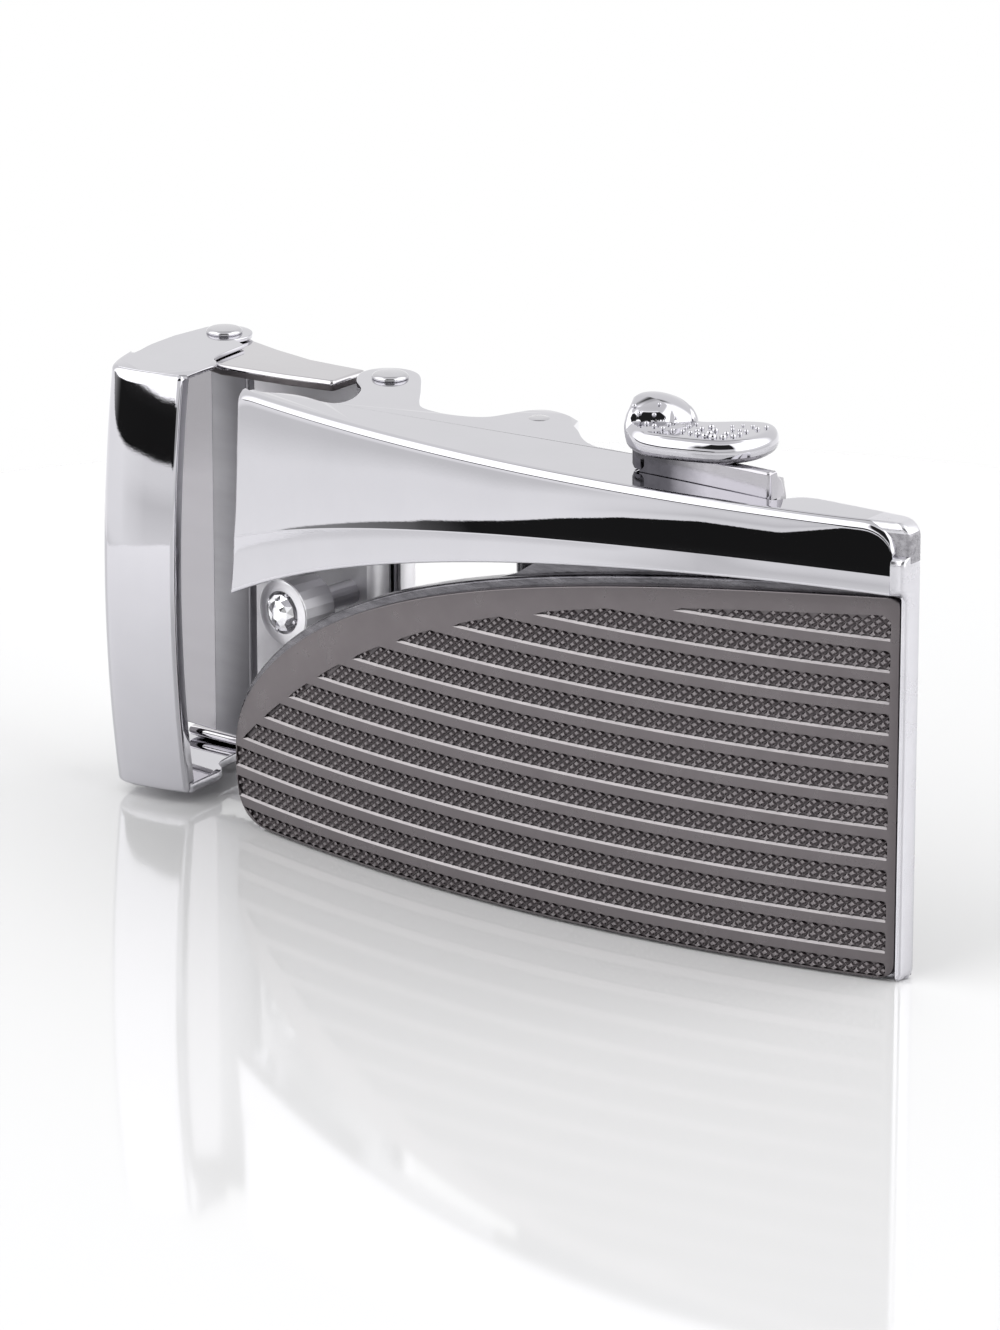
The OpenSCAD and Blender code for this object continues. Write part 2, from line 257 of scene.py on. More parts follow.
def rounded(outline: Sequence[Point2], radii: dict[int, float], n: int = 4) -> list[Point2]:
    """A closed outline with some of its corners rounded.

    Args:
        outline: its points.
        radii: how much each corner is drawn back, by its number.
        n: spans in a corner.

    Returns:
        The new outline.
    """
    out: list[Point2] = []
    for i, p in enumerate(outline):
        r = radii.get(i, 0.0)
        if not r:
            out.append(p)
            continue
        a, b = Vector(outline[i - 1]), Vector(outline[(i + 1) % len(outline)])
        c = Vector(p)
        s = c + (a - c).normalized() * min(r, (a - c).length * 0.49)
        e = c + (b - c).normalized() * min(r, (b - c).length * 0.49)
        for k in range(n + 1):
            t = k / n
            q = s * (1 - t) ** 2 + c * 2 * t * (1 - t) + e * t * t
            out.append((q.x, q.y))
    return out


class Draft:
    """Points and faces of one piece, in the maker's millimetres."""

    def __init__(self, turn: Matrix | None = None) -> None:
        """Starts an empty draft.

        Args:
            turn: where its own axes stand among the maker's.
        """
        self.turn = turn or Matrix.Identity(4)
        self.points: list[Vector] = []
        self.faces: list[tuple[int, ...]] = []

    def ring(self, points: Sequence[Point3]) -> list[int]:
        """Adds points and returns their numbers."""
        start = len(self.points)
        self.points += [self.turn @ Vector(p) for p in points]
        return list(range(start, len(self.points)))

    def bridge(self, a: Sequence[int], b: Sequence[int], closed: bool = True) -> None:
        """Joins two rows of equal length with four-sided faces.

        Args:
            a: one row's numbers.
            b: the other's.
            closed: whether the last joins the first.
        """
        n = len(a)
        for i in range(n if closed else n - 1):
            j = (i + 1) % n
            self.faces.append((a[i], a[j], b[j], b[i]))

    def skin(self, rows: Sequence[Sequence[Point3]], closed: bool = True,
             caps: bool = True) -> None:
        """A skin over rows of points.

        Args:
            rows: rows of equal length.
            closed: whether each row is a closed loop.
            caps: whether the first and last row are filled.
        """
        rings = [self.ring(r) for r in rows]
        for a, b in zip(rings, rings[1:]):
            self.bridge(a, b, closed)
        if caps:
            self.faces.append(tuple(rings[0]))
            self.faces.append(tuple(reversed(rings[-1])))

    def plate(self, outline: Sequence[Point2], z0: float, z1: float, top: float = 0.15,
              low: float = 0.15, held: Callable[[Point2], bool] | None = None,
              steps: int = 3) -> None:
        """A flat plate with rounded edges.

        Args:
            outline: its plan.
            z0: its underside.
            z1: its top.
            top: radius along the top edge.
            low: radius along the lower edge.
            held: says which points of the plan keep a square edge.
            steps: spans in the rounding.
        """
        plan = list(outline) if area(outline) > 0 else list(reversed(outline))
        keep = [bool(held and held(p)) for p in plan]
        foot = [(low * (1 - math.sin(a)), z0 + low * (1 - math.cos(a))) for a in quarter(steps)]
        head = [(top * (1 - math.cos(a)), z1 - top * (1 - math.sin(a))) for a in quarter(steps)]
        self.skin([[(*p, z) for p in inset(plan, pull, keep)] for pull, z in foot + head])

    def lathe(self, centre: Point2, profile: Sequence[Point2], segments: int = 48) -> None:
        """A turned form about an upright axis.

        Args:
            centre: where the axis stands.
            profile: [radius, height] points from its foot to its top.
            segments: sides of the turned form.
        """
        self.skin([circle(max(r, AXIS_R), z, segments, centre) for r, z in profile])

    def build(self, name: str, crease: float = 38.0, weighted: bool = True) -> Piece:
        """Makes the piece.

        Args:
            name: the piece's name.
            crease: edges that turn by more degrees than this stay crisp.
            weighted: whether broad faces set the shading of the small ones beside them.

        Returns:
            The new object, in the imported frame.
        """
        mesh = bpy.data.meshes.new(name)
        place = [((p.x - MID_X) * MM, (p.y - MID_Y) * MM, p.z * MM) for p in self.points]
        mesh.from_pydata(place, [], self.faces)
        work = bmesh.new()
        work.from_mesh(mesh)
        bmesh.ops.remove_doubles(work, verts=work.verts, dist=2 * SAME_POINT)
        bmesh.ops.dissolve_degenerate(work, edges=work.edges, dist=SAME_POINT)
        bmesh.ops.recalc_face_normals(work, faces=work.faces)
        broad = [f for f in work.faces if len(f.verts) > MOST_CORNERS]
        bmesh.ops.triangulate(work, faces=broad, ngon_method="BEAUTY")
        work.to_mesh(mesh)
        work.free()
        mesh.shade_smooth()
        mesh.set_sharp_from_angle(angle=math.radians(crease))
        piece = bpy.data.objects.new(name, mesh)
        bpy.context.scene.collection.objects.link(piece)
        if weighted:
            shade = piece.modifiers.new("flat faces stay flat", "WEIGHTED_NORMAL")
            shade.mode = "FACE_AREA"
            shade.weight = FLAT_WEIGHT
            shade.keep_sharp = True
        return piece


def fit_out(piece: Piece, body: Body, material: Material,
            replaces: Sequence[str] = ()) -> Piece:
    """Gives a piece its material and its body, and hides the CAD nodes that it stands for.

    Args:
        piece: the piece.
        body: the body that it rides on.
        material: its finish.
        replaces: CAD nodes that it stands for.

    Returns:
        The same piece.
    """
    piece.data.materials.append(material)
    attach(piece, body.value)
    if replaces:
        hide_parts(*replaces)
    LOG.info("%s: %d faces on %s", piece.name, len(piece.data.polygons), body.value)
    return piece


def linear(hex_colour: str) -> tuple[float, float, float, float]:
    """Turns an sRGB hex colour to linear light.

    Args:
        hex_colour: such as "#C8C8CC".

    Returns:
        Red, green, blue and one for alpha.
    """
    parts = [int(hex_colour[i:i + 2], 16) / 255 for i in (1, 3, 5)]
    flat = [c / 12.92 if c <= 0.04045 else ((c + 0.055) / 1.055) ** 2.4 for c in parts]
    return (flat[0], flat[1], flat[2], 1.0)


def add_node(tree: Tree, kind: str, settings: dict[str, object] | None = None,
             inputs: dict[str | int, object] | None = None) -> bpy.types.Node:
    """Adds a node with its settings and links.

    Args:
        tree: the node tree.
        kind: the node's type name.
        settings: properties of the node.
        inputs: a value for each input, or the output that feeds it.

    Returns:
        The node.
    """
    made = tree.nodes.new(kind)
    for key, value in (settings or {}).items():
        setattr(made, key, value)
    for key, value in (inputs or {}).items():
        if isinstance(value, Socket):
            tree.links.new(value, made.inputs[key])
        else:
            made.inputs[key].default_value = value
    return made


@dataclass(frozen=True)
class Ramp:
    """A clamped straight ramp for a Map Range node.

    Fields:
        start: the value where it starts.
        end: the value where it ends.
        low: what it gives at its start.
        high: what it gives at its end.
    """

    start: float
    end: float
    low: float = 0.0
    high: float = 1.0

    def of(self, value: Socket) -> dict[str, object]:
        """The node's inputs where it reads this value."""
        return {"Value": value, "From Min": self.start, "From Max": self.end,
                "To Min": self.low, "To Max": self.high}


def blank(owner: Material | bpy.types.World) -> Tree:
    """Switches on the nodes of a material or a world and clears them."""
    owner.use_nodes = True
    owner.node_tree.nodes.clear()
    return owner.node_tree


@dataclass(frozen=True)
class MetalFinish:
    """A plated or bare metal surface with the marks of its making.

    Fields:
        name: the real finish.
        colour: its sRGB colour.
        second: the sRGB colour that it drifts to in faint clouds.
        roughness: how dull it is where it is clean.
        smear: how much handling marks add to that.
        smear_mm: size of those marks.
        grain: strength of its fine surface grain, as bump.
        grain_mm: size of that grain.
        wave: strength of the slow unevenness under the polish, as bump.
        wave_mm: size of that unevenness.
        stretch: how the grain is drawn out along each axis.
        shade_lift: the sRGB colour that a painted shade over its low-x end lifts to, and the x,
        in maker's millimetres, where the shade starts to lift and where it is gone; None for none.
    """

    name: str
    colour: str
    second: str
    roughness: float
    smear: float
    smear_mm: float
    grain: float
    grain_mm: float
    wave: float = 0.0
    wave_mm: float = 6.0
    stretch: tuple[float, float, float] = (1.0, 1.0, 1.0)
    shade_lift: tuple[str, float, float] | None = None

    def make(self) -> Material:
        """Builds the material and returns it."""
        material = bpy.data.materials.new(self.name)
        tree = blank(material)
        where = add_node(tree, "ShaderNodeTexCoord").outputs["Object"]
        drawn = add_node(tree, "ShaderNodeMapping", {}, {
            "Vector": where, "Scale": self.stretch}).outputs[0]
        cloud = add_node(tree, "ShaderNodeTexNoise", {}, {
            "Vector": drawn, "Scale": 1 / (self.smear_mm * MM), "Detail": 3.0, "Roughness": 0.6})
        smears = Ramp(0.35, 0.75, self.roughness, self.roughness + self.smear)
        dull = add_node(tree, "ShaderNodeMapRange", {}, smears.of(cloud.outputs["Fac"]))
        tint = add_node(tree, "ShaderNodeMix", {"data_type": "RGBA"}, {
            0: cloud.outputs["Fac"], 6: linear(self.colour), 7: linear(self.second)})
        grain = add_node(tree, "ShaderNodeTexNoise", {}, {
            "Vector": drawn, "Scale": 1 / (self.grain_mm * MM), "Detail": 4.0, "Roughness": 0.65})
        bump = add_node(tree, "ShaderNodeBump", {}, {
            "Height": grain.outputs["Fac"], "Strength": self.grain,
            "Distance": self.grain_mm * MM * 0.1})
        normal = bump.outputs[0]
        if self.wave:
            slow = add_node(tree, "ShaderNodeTexNoise", {}, {
                "Vector": where, "Scale": 1 / (self.wave_mm * MM), "Detail": 1.0})
            normal = add_node(tree, "ShaderNodeBump", {}, {
                "Height": slow.outputs["Fac"], "Strength": self.wave,
                "Distance": self.wave_mm * MM * 0.02, "Normal": normal}).outputs[0]
        colour = tint.outputs[2]
        # A painted shade over the low-x end, lifting towards higher x.
        if self.shade_lift:
            along = add_node(tree, "ShaderNodeSeparateXYZ", {}, {0: where}).outputs["X"]
            ragged = add_node(tree, "ShaderNodeMath", {"operation": "MULTIPLY_ADD"}, {
                0: cloud.outputs["Fac"], 1: 2 * MM, 2: along})
            shade_ramp = Ramp((self.shade_lift[1] - MID_X + 1) * MM, (self.shade_lift[2] - MID_X + 1) * MM)
            share = add_node(tree, "ShaderNodeMapRange", {}, shade_ramp.of(ragged.outputs[0]))
            colour = add_node(tree, "ShaderNodeMix", {"data_type": "RGBA"}, {
                0: share.outputs[0], 6: colour, 7: linear(self.shade_lift[0])}).outputs[2]
        shader = add_node(tree, "ShaderNodeBsdfPrincipled", {}, {
            "Base Color": colour, "Metallic": 1.0, "Roughness": dull.outputs[0], "Normal": normal})
        add_node(tree, "ShaderNodeOutputMaterial", {}, {"Surface": shader.outputs[0]})
        return material


# Polished zinc alloy under bright chrome: mirror clear, a little cool, with faint
# wiping marks and the slow unevenness of a hand-polished casting.
CHROME = MetalFinish("bright chrome plate on polished zinc", "#C5C4C9", "#C0BFC4",
                     0.012, 0.02, 4.0, 0.03, 0.25, 0.06, 5.0)
# The same chrome on the milled end bar, softly blurred and given a lighter colour as painted light,
# so that it reads as the whitest metal of the piece.
LIT_CHROME = MetalFinish("chrome with painted light for the end bar", "#D8D7DC", "#CFCED3",
                  0.24, 0.05, 3.0, 0.05, 0.2)
# A dark mottled copy of the chrome: painted shade on the rounded end corner and on the pad's
# underside.
SHADED_CHROME = MetalFinish("chrome with painted shade", "#5C5B60", "#C4C2C7", 0.2, 0.2, 0.5,
                       0.6, 0.3, 0.3, 1.0)
# The step and the web under the face's lip: plated over the grain of the casting, streaked and
# dull, and painted very dark as the shade in that groove.
CAST_AND_SHADE = MetalFinish("chrome plate on unpolished zinc with painted shade", "#2A292E", "#8E8C91", 0.14, 0.2, 0.6,
                   0.7, 0.35, 0.3, 1.2, (0.2, 0.2, 1.0))
# Satin gunmetal plating: dark grey with a soft broad highlight and a fine matt grain.
GUNMETAL = MetalFinish("satin gunmetal plate", "#736E70", "#6A6567", 0.26, 0.08, 3.0, 0.3, 0.12)
# The bevel along the upper edge of each rib: a lighter gunmetal as a painted highlight.
RIB_HIGHLIGHT = MetalFinish("gunmetal with painted highlight", "#9B9798", "#8E8A8C", 0.3, 0.1, 1.0, 0.3, 0.1)
# The floor of the knurled bands, where the plating stays black and nothing rubs it; the same dark
# finish is painted shade on the clamp's upper arm.
GROUND_AND_SHADE = MetalFinish("black oxide under gunmetal lacquer, also painted shade", "#726D6F", "#646062",
                     0.45, 0.15, 1.0, 0.5, 0.1)
# The diamonds: the same gunmetal, rubbed a little brighter than the rim.
KNURL = MetalFinish("rubbed gunmetal plate", "#888385", "#777274", 0.24, 0.1, 0.8, 0.4, 0.1)
# Bright nickel on stamped sheet: warmer and less clear than the chrome, with the
# drawn marks of the sheet's rolling showing faintly.
NICKEL = MetalFinish("bright nickel plate on rolled sheet", "#C4C2C5", "#BCBABD",
                     0.03, 0.04, 3.0, 0.08, 0.12, 0.05, 4.0, (0.3, 0.3, 2.0))
# The jaw's blade, dulled by the strap that is clamped under it.
DULL_NICKEL = MetalFinish("strap-dulled nickel plate", "#A8A7AB", "#9C9B9F", 0.34, 0.08, 3.0,
                          0.2, 0.12, 0.0, 4.0, (0.3, 0.3, 2.0))
# The bent root of the jaw: nickel stretched in the bending, a little greyer.
ROOT_NICKEL = MetalFinish("nickel plate stretched over a bend", "#A9A7AB", "#A2A0A4",
                          0.1, 0.06, 3.0, 0.2, 0.12, 0.0, 4.0, (0.3, 0.3, 2.0))
# The clamp's back plate and barrel: a rough nickel that spreads the light evenly, whiter than the
# arms' nickel as painted light where the face in front shades them.
ROUGH_LIT_NICKEL = MetalFinish("rough nickel plate with painted light", "#EAE9EC", "#DEDDE0",
                      0.45, 0.1, 2.0, 0.15, 0.12)
# Satin silver on the stud: a white sheen that spreads the light over its whole face.
SATIN = MetalFinish("satin silver plate", "#EDECEF", "#E2E1E5", 0.28, 0.1, 1.0, 0.3, 0.1)
# Turned bright steel: clean rings of a lathe tool too fine to see one by one.
STEEL = MetalFinish("turned bright steel", "#C6C5C9", "#BAB9BD", 0.04, 0.05, 1.5, 0.08, 0.08)
# Blackened spring steel: dark and satin, with rubbed lighter patches.
DARK_STEEL = MetalFinish("blackened spring steel", "#6E6D71", "#4A494D", 0.2, 0.14, 1.6, 0.3, 0.1)
# The lever ear's steel: dark over its left end as painted shade under the pad's left lobe, lifting
# to its own light grey towards the right.
SHADED_LEFT_STEEL = MetalFinish("steel with painted shade at its left end", "#5B5A5E", "#403F43",
                           0.1, 0.12, 1.2, 0.2, 0.1, shade_lift=("#B4B2B7", 13.5, 17.5))


@dataclass(frozen=True)
class FoiledStone:
    """Cut lead glass with a silvered back: bright and dark facets with a cool sparkle."""

    name: str = "cut lead glass with a silvered back"
    colour: str = "#F4F4F8"
    roughness: float = 0.02

    def make(self) -> Material:
        """Builds the material and returns it."""
        material = bpy.data.materials.new(self.name)
        tree = blank(material)
        where = add_node(tree, "ShaderNodeTexCoord").outputs["Object"]
        scuff = add_node(tree, "ShaderNodeTexNoise", {}, {
            "Vector": where, "Scale": 1 / (0.4 * MM), "Detail": 2.0})
        scuffs = Ramp(0.5, 0.8, self.roughness, self.roughness + 0.06)
        dull = add_node(tree, "ShaderNodeMapRange", {}, scuffs.of(scuff.outputs["Fac"]))
        shader = add_node(tree, "ShaderNodeBsdfPrincipled", {}, {
            "Base Color": linear(self.colour), "Metallic": 0.85, "Roughness": dull.outputs[0],
            "Coat Weight": 1.0, "Coat IOR": 1.6, "Coat Roughness": 0.01})
        add_node(tree, "ShaderNodeOutputMaterial", {}, {"Surface": shader.outputs[0]})
        return material


@dataclass
class Finishes:
    """All the materials, made once."""

    chrome: Material = field(default_factory=CHROME.make)
    cast: Material = field(default_factory=CAST_AND_SHADE.make)
    bar: Material = field(default_factory=LIT_CHROME.make)
    shaded_chrome: Material = field(default_factory=SHADED_CHROME.make)
    gunmetal: Material = field(default_factory=GUNMETAL.make)
    edge: Material = field(default_factory=RIB_HIGHLIGHT.make)
    ground_and_shade: Material = field(default_factory=GROUND_AND_SHADE.make)
    knurl: Material = field(default_factory=KNURL.make)
    nickel: Material = field(default_factory=NICKEL.make)
    dull_nickel: Material = field(default_factory=DULL_NICKEL.make)
    root_nickel: Material = field(default_factory=ROOT_NICKEL.make)
    rough_lit_nickel: Material = field(default_factory=ROUGH_LIT_NICKEL.make)
    satin: Material = field(default_factory=SATIN.make)
    steel: Material = field(default_factory=STEEL.make)
    dark_steel: Material = field(default_factory=DARK_STEEL.make)
    shaded_left_steel: Material = field(default_factory=SHADED_LEFT_STEEL.make)
    stone: Material = field(default_factory=FoiledStone().make)


@dataclass(frozen=True)
class Sizes:
    """The sizes that several parts share, in the maker's millimetres."""

    body_h: float = 39.1
    bow_r: float = 131.5
    apex_x: float = 0.43
    wall_t: float = 1.0
    face_t: float = 2.2
    panel_t: float = 0.8
    sheet_t: float = 1.1
    pin_r: float = 1.0
    rivet_r: float = 0.8
    head_r: float = 1.6
    ear_t: float = 0.95
    loop_z0: float = 1.0
    rear_y: float = 7.3
    end_x: float = 37.1
    panel_end_x: float = 36.5
    hinge: Point2 = (-23.0, 14.8)
    loop_pivot: Point2 = (-43.8, 17.8)
    pawl_pivot: Point2 = (-5.3, 12.5)

    @property
    def wall_top(self) -> float:
        """Underside of the top wall."""
        return self.body_h - self.wall_t

    @property
    def loop_z1(self) -> float:
        """Top of the loop's upper ear."""
        return self.wall_top + self.ear_t

    @property
    def arm_top_z1(self) -> float:
        """Top of the clamp's upper arm."""
        return self.wall_top + 0.5

    @property
    def arm_top_z0(self) -> float:
        """Underside of the clamp's upper arm."""
        return self.arm_top_z1 - 0.95

    @property
    def arm_low_z0(self) -> float:
        """Underside of the clamp's lower arm."""
        return self.loop_z0 + self.ear_t + 0.1

    @property
    def arm_low_z1(self) -> float:
        """Top of the clamp's lower arm."""
        return self.arm_low_z0 + self.sheet_t

    def bow_y(self, x: float, depth: float = 0.0) -> float:
        """y of the bowed front at x, at a depth behind it."""
        return self.bow_r - math.sqrt((self.bow_r - depth) ** 2 - (x - self.apex_x) ** 2)


S = Sizes()

# Lines of the front, as x and z: the panel's upper edge and lower left corner, the upper
# edge of its knurled area, and the crease and the lower edge of the face above it.
PANEL_ARC = bezier([(-31.85, 6.5), (-31.95, 10.4), (-29.1, 13.6), (-26.3, 16.1)], 12)[:-1]
PANEL_ARC += bezier([(-26.3, 16.1), (-12.3, 28.43), (15.9, 31.76), (35.4, 32.9)], 60)
PANEL_LOW_CORNER = bezier([(-27.2, 0.2), (-30.8, 0.2), (-32.0, 1.8), (-31.85, 6.5)], 14)
BAND_ARC = bezier([(-30.9, 7.7), (-9.5, 28.6), (17.1, 29.6), (35.8, 31.4)], 90)
CREASE = bezier([(-31.2, 26.1), (-11.98, 33.2), (18.39, 35.29), (36.8, 34.9)], 60)
LIP_EDGE = bezier([(-31.2, 21.1), (-10.65, 31.51), (20.66, 33.75), (36.8, 33.2)], 60)

# Rear edge of the side walls, from the left end round the hinge lobe to the pawl lobe,
# and on to the lever's notch.
WALL_TAIL = smooth([
    (-30.2, 5.0), (-29.3, 4.9), (-28.5, 5.05), (-27.6, 5.5), (-26.4, 5.85), (-25.0, 5.87),
    (-23.2, 5.6), (-22.0, 5.8), (-21.6, 6.8), (-21.8, 8.2), (-22.4, 9.7), (-23.3, 11.1),
    (-25.2, 12.9), (-26.2, 15.0), (-25.6, 17.0), (-23.8, 17.9), (-21.6, 17.2), (-18.7, 13.6),
    (-16.6, 10.7), (-15.2, 9.3), (-13.4, 8.9), (-11.8, 9.0), (-10.2, 9.5), (-9.0, 10.4),
    (-8.3, 12.0), (-7.6, 13.8), (-6.6, 14.9), (-5.3, 15.1), (-3.7, 14.7), (-2.2, 13.9)], 6)
WALL_WAIST = smooth([(-1.6, 12.5), (-0.4, 11.5), (0.9, 10.2), (2.2, 9.2), (3.6, 8.6)], 6)
LEVER_NOTCH = rounded([(10.3, 8.9), (10.3, 4.64), (24.2, 4.64), (25.4, 6.9), (27.0, S.rear_y)],
                      {0: 0.5, 1: 0.4, 2: 0.4, 3: 0.8})
# Left end of the swept face, as height and x.
LEFT_END = [(21.0, -30.95), (26.1, -30.9), (30.0, -31.1), (34.0, -31.15)]
# Upper edge of the web behind the panel's step.
WEB_TOP = [(-6.0, 25.0), (-4.5, 27.4), (0.5, 29.2), (2.6, 30.6), (8.0, 33.0), (36.8, 34.5)]


class Station(NamedTuple):
    """How the swept face flares at one place along it.

    Fields:
        x: the place.
        start: height at which the flare begins to show.
        steep: height at which it has turned enough to mirror the horizon.
        top: how far it lifts the mirrored view at its top.
        foot: the same at its crease.
    """

    x: float
    start: float
    steep: float
    top: float
    foot: float


STATIONS = (
    Station(-31.5, 30.6, 26.25, 0.0, 0.300), Station(-22.9, 32.4, 28.82, 0.0, 0.310),
    Station(-16.7, 33.8, 30.5, 0.0, 0.320), Station(-8.6, 35.4, 32.25, 0.0, 0.330),
    Station(0.0, 35.7, 33.9, 0.0, 0.335), Station(6.0, 36.7, 35.2, 0.0, 0.345),
    Station(12.0, 37.4, 36.3, 0.01, 0.345), Station(19.4, 38.0, 37.1, 0.05, 0.345),
    Station(26.4, 38.05, 37.15, 0.05, 0.345), Station(32.4, 38.6, 38.5, 0.24, 0.335),
    Station(37.1, 38.6, 38.5, 0.26, 0.335))
# How far the mirrored view is lifted where the flare begins to show and where it mirrors
# the horizon, and twice the sine of the camera's tilt, by which the lift grows slower.
START_LIFT, STEEP_LIFT = 0.084, 0.253
TILT_LOSS = 0.618


@dataclass
class CastBody:
    """The chromed casting: swept face, side walls, step under the panel and right end."""

    finishes: Finishes
    left_top: float = -31.05
    left_low: float = -30.95
    face_right: float = 36.0
    columns: int = 150
    face_rows: int = 30
    left_round: float = 0.2
    bevel: float = 0.72
    # How the top front edge turns down near both ends.
    corner_x: float = 33.2
    corner_drop: float = 2.5
    left_corner_w: float = 2.2
    left_corner_drop: float = 1.0
    # The lip under the crease: how far it lifts the mirrored view at its top and its
    # lower edge, left and right, and where it turns from the one to the other.
    crease_r: float = 0.07
    lip_rows: int = 12
    lip_edge_h: float = 0.16
    lip_edge_d: float = 0.14
    lip_lifts: tuple[Point2, Point2] = ((0.03, 0.2), (0.21, 0.09))
    lip_turn: Point2 = (12.0, 26.0)
    # The right-hand bar, the brow over it and the corner between them.
    end_corner_r: float = 1.3
    end_edge_r: float = 0.45
    rear_edge_r: float = 0.5
    foot_r: float = 0.9
    bar_top: float = 35.7
    bar_round: float = 0.7
    brow_z: float = 38.3
    end_out: float = 0.6
    seat_out: float = 0.03
    corner_z: float = 38.4
    corner_depth: Point2 = (0.25, 0.5)
    seat_z: float = 33.1
    swell_z: Point2 = (32.7, 33.7)
    brow_fall: float = 0.85
    foot_pull: float = 0.6
    bar_inset: float = 0.04
    # The step round the panel and the web at the window.
    base_depth: float = 2.4
    step_w: float = 0.75
    step_r: float = 0.3
    step_top: float = 33.8
    web_depths: Point2 = (1.6, 2.35)
    # How a lean lifts the mirrored view, at the left end and more to the right.
    gain_x: Point2 = (-30.0, 36.0)
    gain_left: float = 1.21
    gain_rise: float = 0.56

    def right_drop(self, x: float) -> float:
        """How far the top front edge has turned down at x, near the right end."""
        return self.corner_drop * round_off(part_way(x, self.corner_x, self.face_right + 0.05))

    def left_drop(self, x: float) -> float:
        """The same near the left end."""
        start, end = self.left_top + self.left_corner_w, self.left_top - 0.05
        return self.left_corner_drop * round_off(part_way(x, start, end))

    def bevel_depth(self, x: float) -> float:
        """How far behind the face its top bevel ends at x."""
        return self.bevel + 0.45 * self.left_drop(x) - 0.15 * self.right_drop(x)

    def gain(self, x: float) -> float:
        """How strongly a lean of the face at x lifts what it mirrors."""
        left, right = self.gain_x
        return self.gain_left + self.gain_rise * (x - left) / (right - left)

    def lean(self, x: float, z: float, crease: float) -> float:
        """How much the flared face leans.

        Args:
            x: place along the face.
            z: height on it.
            crease: height of its crease there.

        Returns:
            The tangent of the lean.
        """
        k = max(i for i, s in enumerate(STATIONS[:-1]) if s.x <= x or i == 0)
        a, b = STATIONS[k], STATIONS[k + 1]
        t = part_way(x, a.x, b.x)
        _, start, steep, top, foot = (p + (q - p) * t for p, q in zip(a, b))
        line = [(crease, foot), (start, START_LIFT), (S.body_h - self.bevel + 0.3, top)]
        if steep > crease + 0.05:
            line.insert(1, (steep, STEEP_LIFT))
        want, gain = height_at(line, z), self.gain(x)
        lift = want / (gain + TILT_LOSS * want / gain)
        return lift / math.sqrt(1 - lift * lift)

    def face_section(self, x: float) -> list[Point2]:
        """Closed section of the swept face at x.

        Args:
            x: where it is cut.

        Returns:
            [depth behind the bow, z] points, the same number at every x.
        """
        crease, lip = height_at(CREASE, x), height_at(LIP_EDGE, x)
        brow = S.body_h - self.right_drop(x)
        back = self.bevel_depth(x)
        depth, z = 0.0, S.body_h - self.bevel
        top = z - self.right_drop(x) - self.left_drop(x)
        levels = [crease + (top - crease) * (1 - i / self.face_rows)
                  for i in range(self.face_rows + 1)]
        levels[-2] = crease + self.crease_r
        face: list[Point2] = []
        for level in levels:
            depth -= self.lean(x, (z + level) / 2, crease) * (z - level)
            z = level
            face.append((depth, z))
        front = face[0][0]
        out = [(front + (back - front) * (1 - math.cos(a)), top + (brow - top) * math.sin(a))
               for a in reversed(quarter(9, 1))] + face
        turned = part_way(x, *self.lip_turn)
        lift_top, lift_low = (a + (b - a) * turned for a, b in zip(*self.lip_lifts))
        for i in range(1, self.lip_rows + 1):
            share = i / self.lip_rows
            fall = self.crease_r if i == 1 else (crease - lip - self.lip_edge_h) * share
            level = crease - fall
            lift = lift_top + (lift_low - lift_top) * share ** 1.5
            depth -= lift / self.gain(x) * (z - level)
            z = level
            out.append((depth, z))
        out += [(depth + self.lip_edge_d * (1 - math.cos(a)),
                 lip + self.lip_edge_h * (1 - math.sin(a))) for a in quarter(4, 1)]
        return out + [(0.6, lip + 0.05), (S.face_t, lip + 0.15),
                      (S.face_t, brow - 0.5), (back + 0.05, brow - 0.3)]

    def left_at(self, z: float) -> float:
        """Left end of the face at a height."""
        return height_at([*LEFT_END, (37.5, self.left_top)], z)

    def swept_face(self) -> Piece:
        """The swept upper face with its lip."""
        draft = Draft()
        ends = [(self.left_at(p[1]), self.face_right) for p in self.face_section(self.left_low)]

        def row(share: float, pull: float, shift: float) -> list[Point3]:
            """One row round the face: how far along it, how far drawn in and shifted."""
            places = [x0 + shift + (x1 - x0) * share for x0, x1 in ends]
            drawn = drawn_in([self.face_section(x)[j] for j, x in enumerate(places)], pull)
            return [(x, S.bow_y(x, d), z) for x, (d, z) in zip(places, drawn)]

        r = self.left_round
        rows = [row(0.0, r * (1 - math.sin(a)), r * (1 - math.cos(a))) for a in quarter(4)[:-1]]
        first = self.left_round / (self.face_right - self.left_low)
        rows += [row(share, 0.0, 0.0) for share in evenly(first, 1.0, self.columns)]
        draft.skin(rows)
        return draft.build("swept_face", crease=50.0, weighted=False)

    def wall_front(self) -> list[Point2]:
        """Front edge of the side walls, just behind the face's bevel."""
        return [(x, S.bow_y(x, self.bevel_depth(x) - 0.02))
                for x in evenly(self.left_top + 0.85, self.corner_x + 0.1, 60)]

    def side_walls(self) -> Piece:
        """The top and bottom walls, with the pin lobes and the lever's notch."""
        rear = WALL_TAIL + WALL_WAIST
        front = self.wall_front()
        low_front = [(x, S.bow_y(x, 0.9)) for x in evenly(-29.6, 36.7, 60)]
        low_right = arc(36.1, S.rear_y - 0.9, 0.9, 90, 0, 6)

        def is_front(p: Point2) -> bool:
            """Whether a point of the plan lies on the front edge, which stays square."""
            return p in front or p[0] > self.corner_x

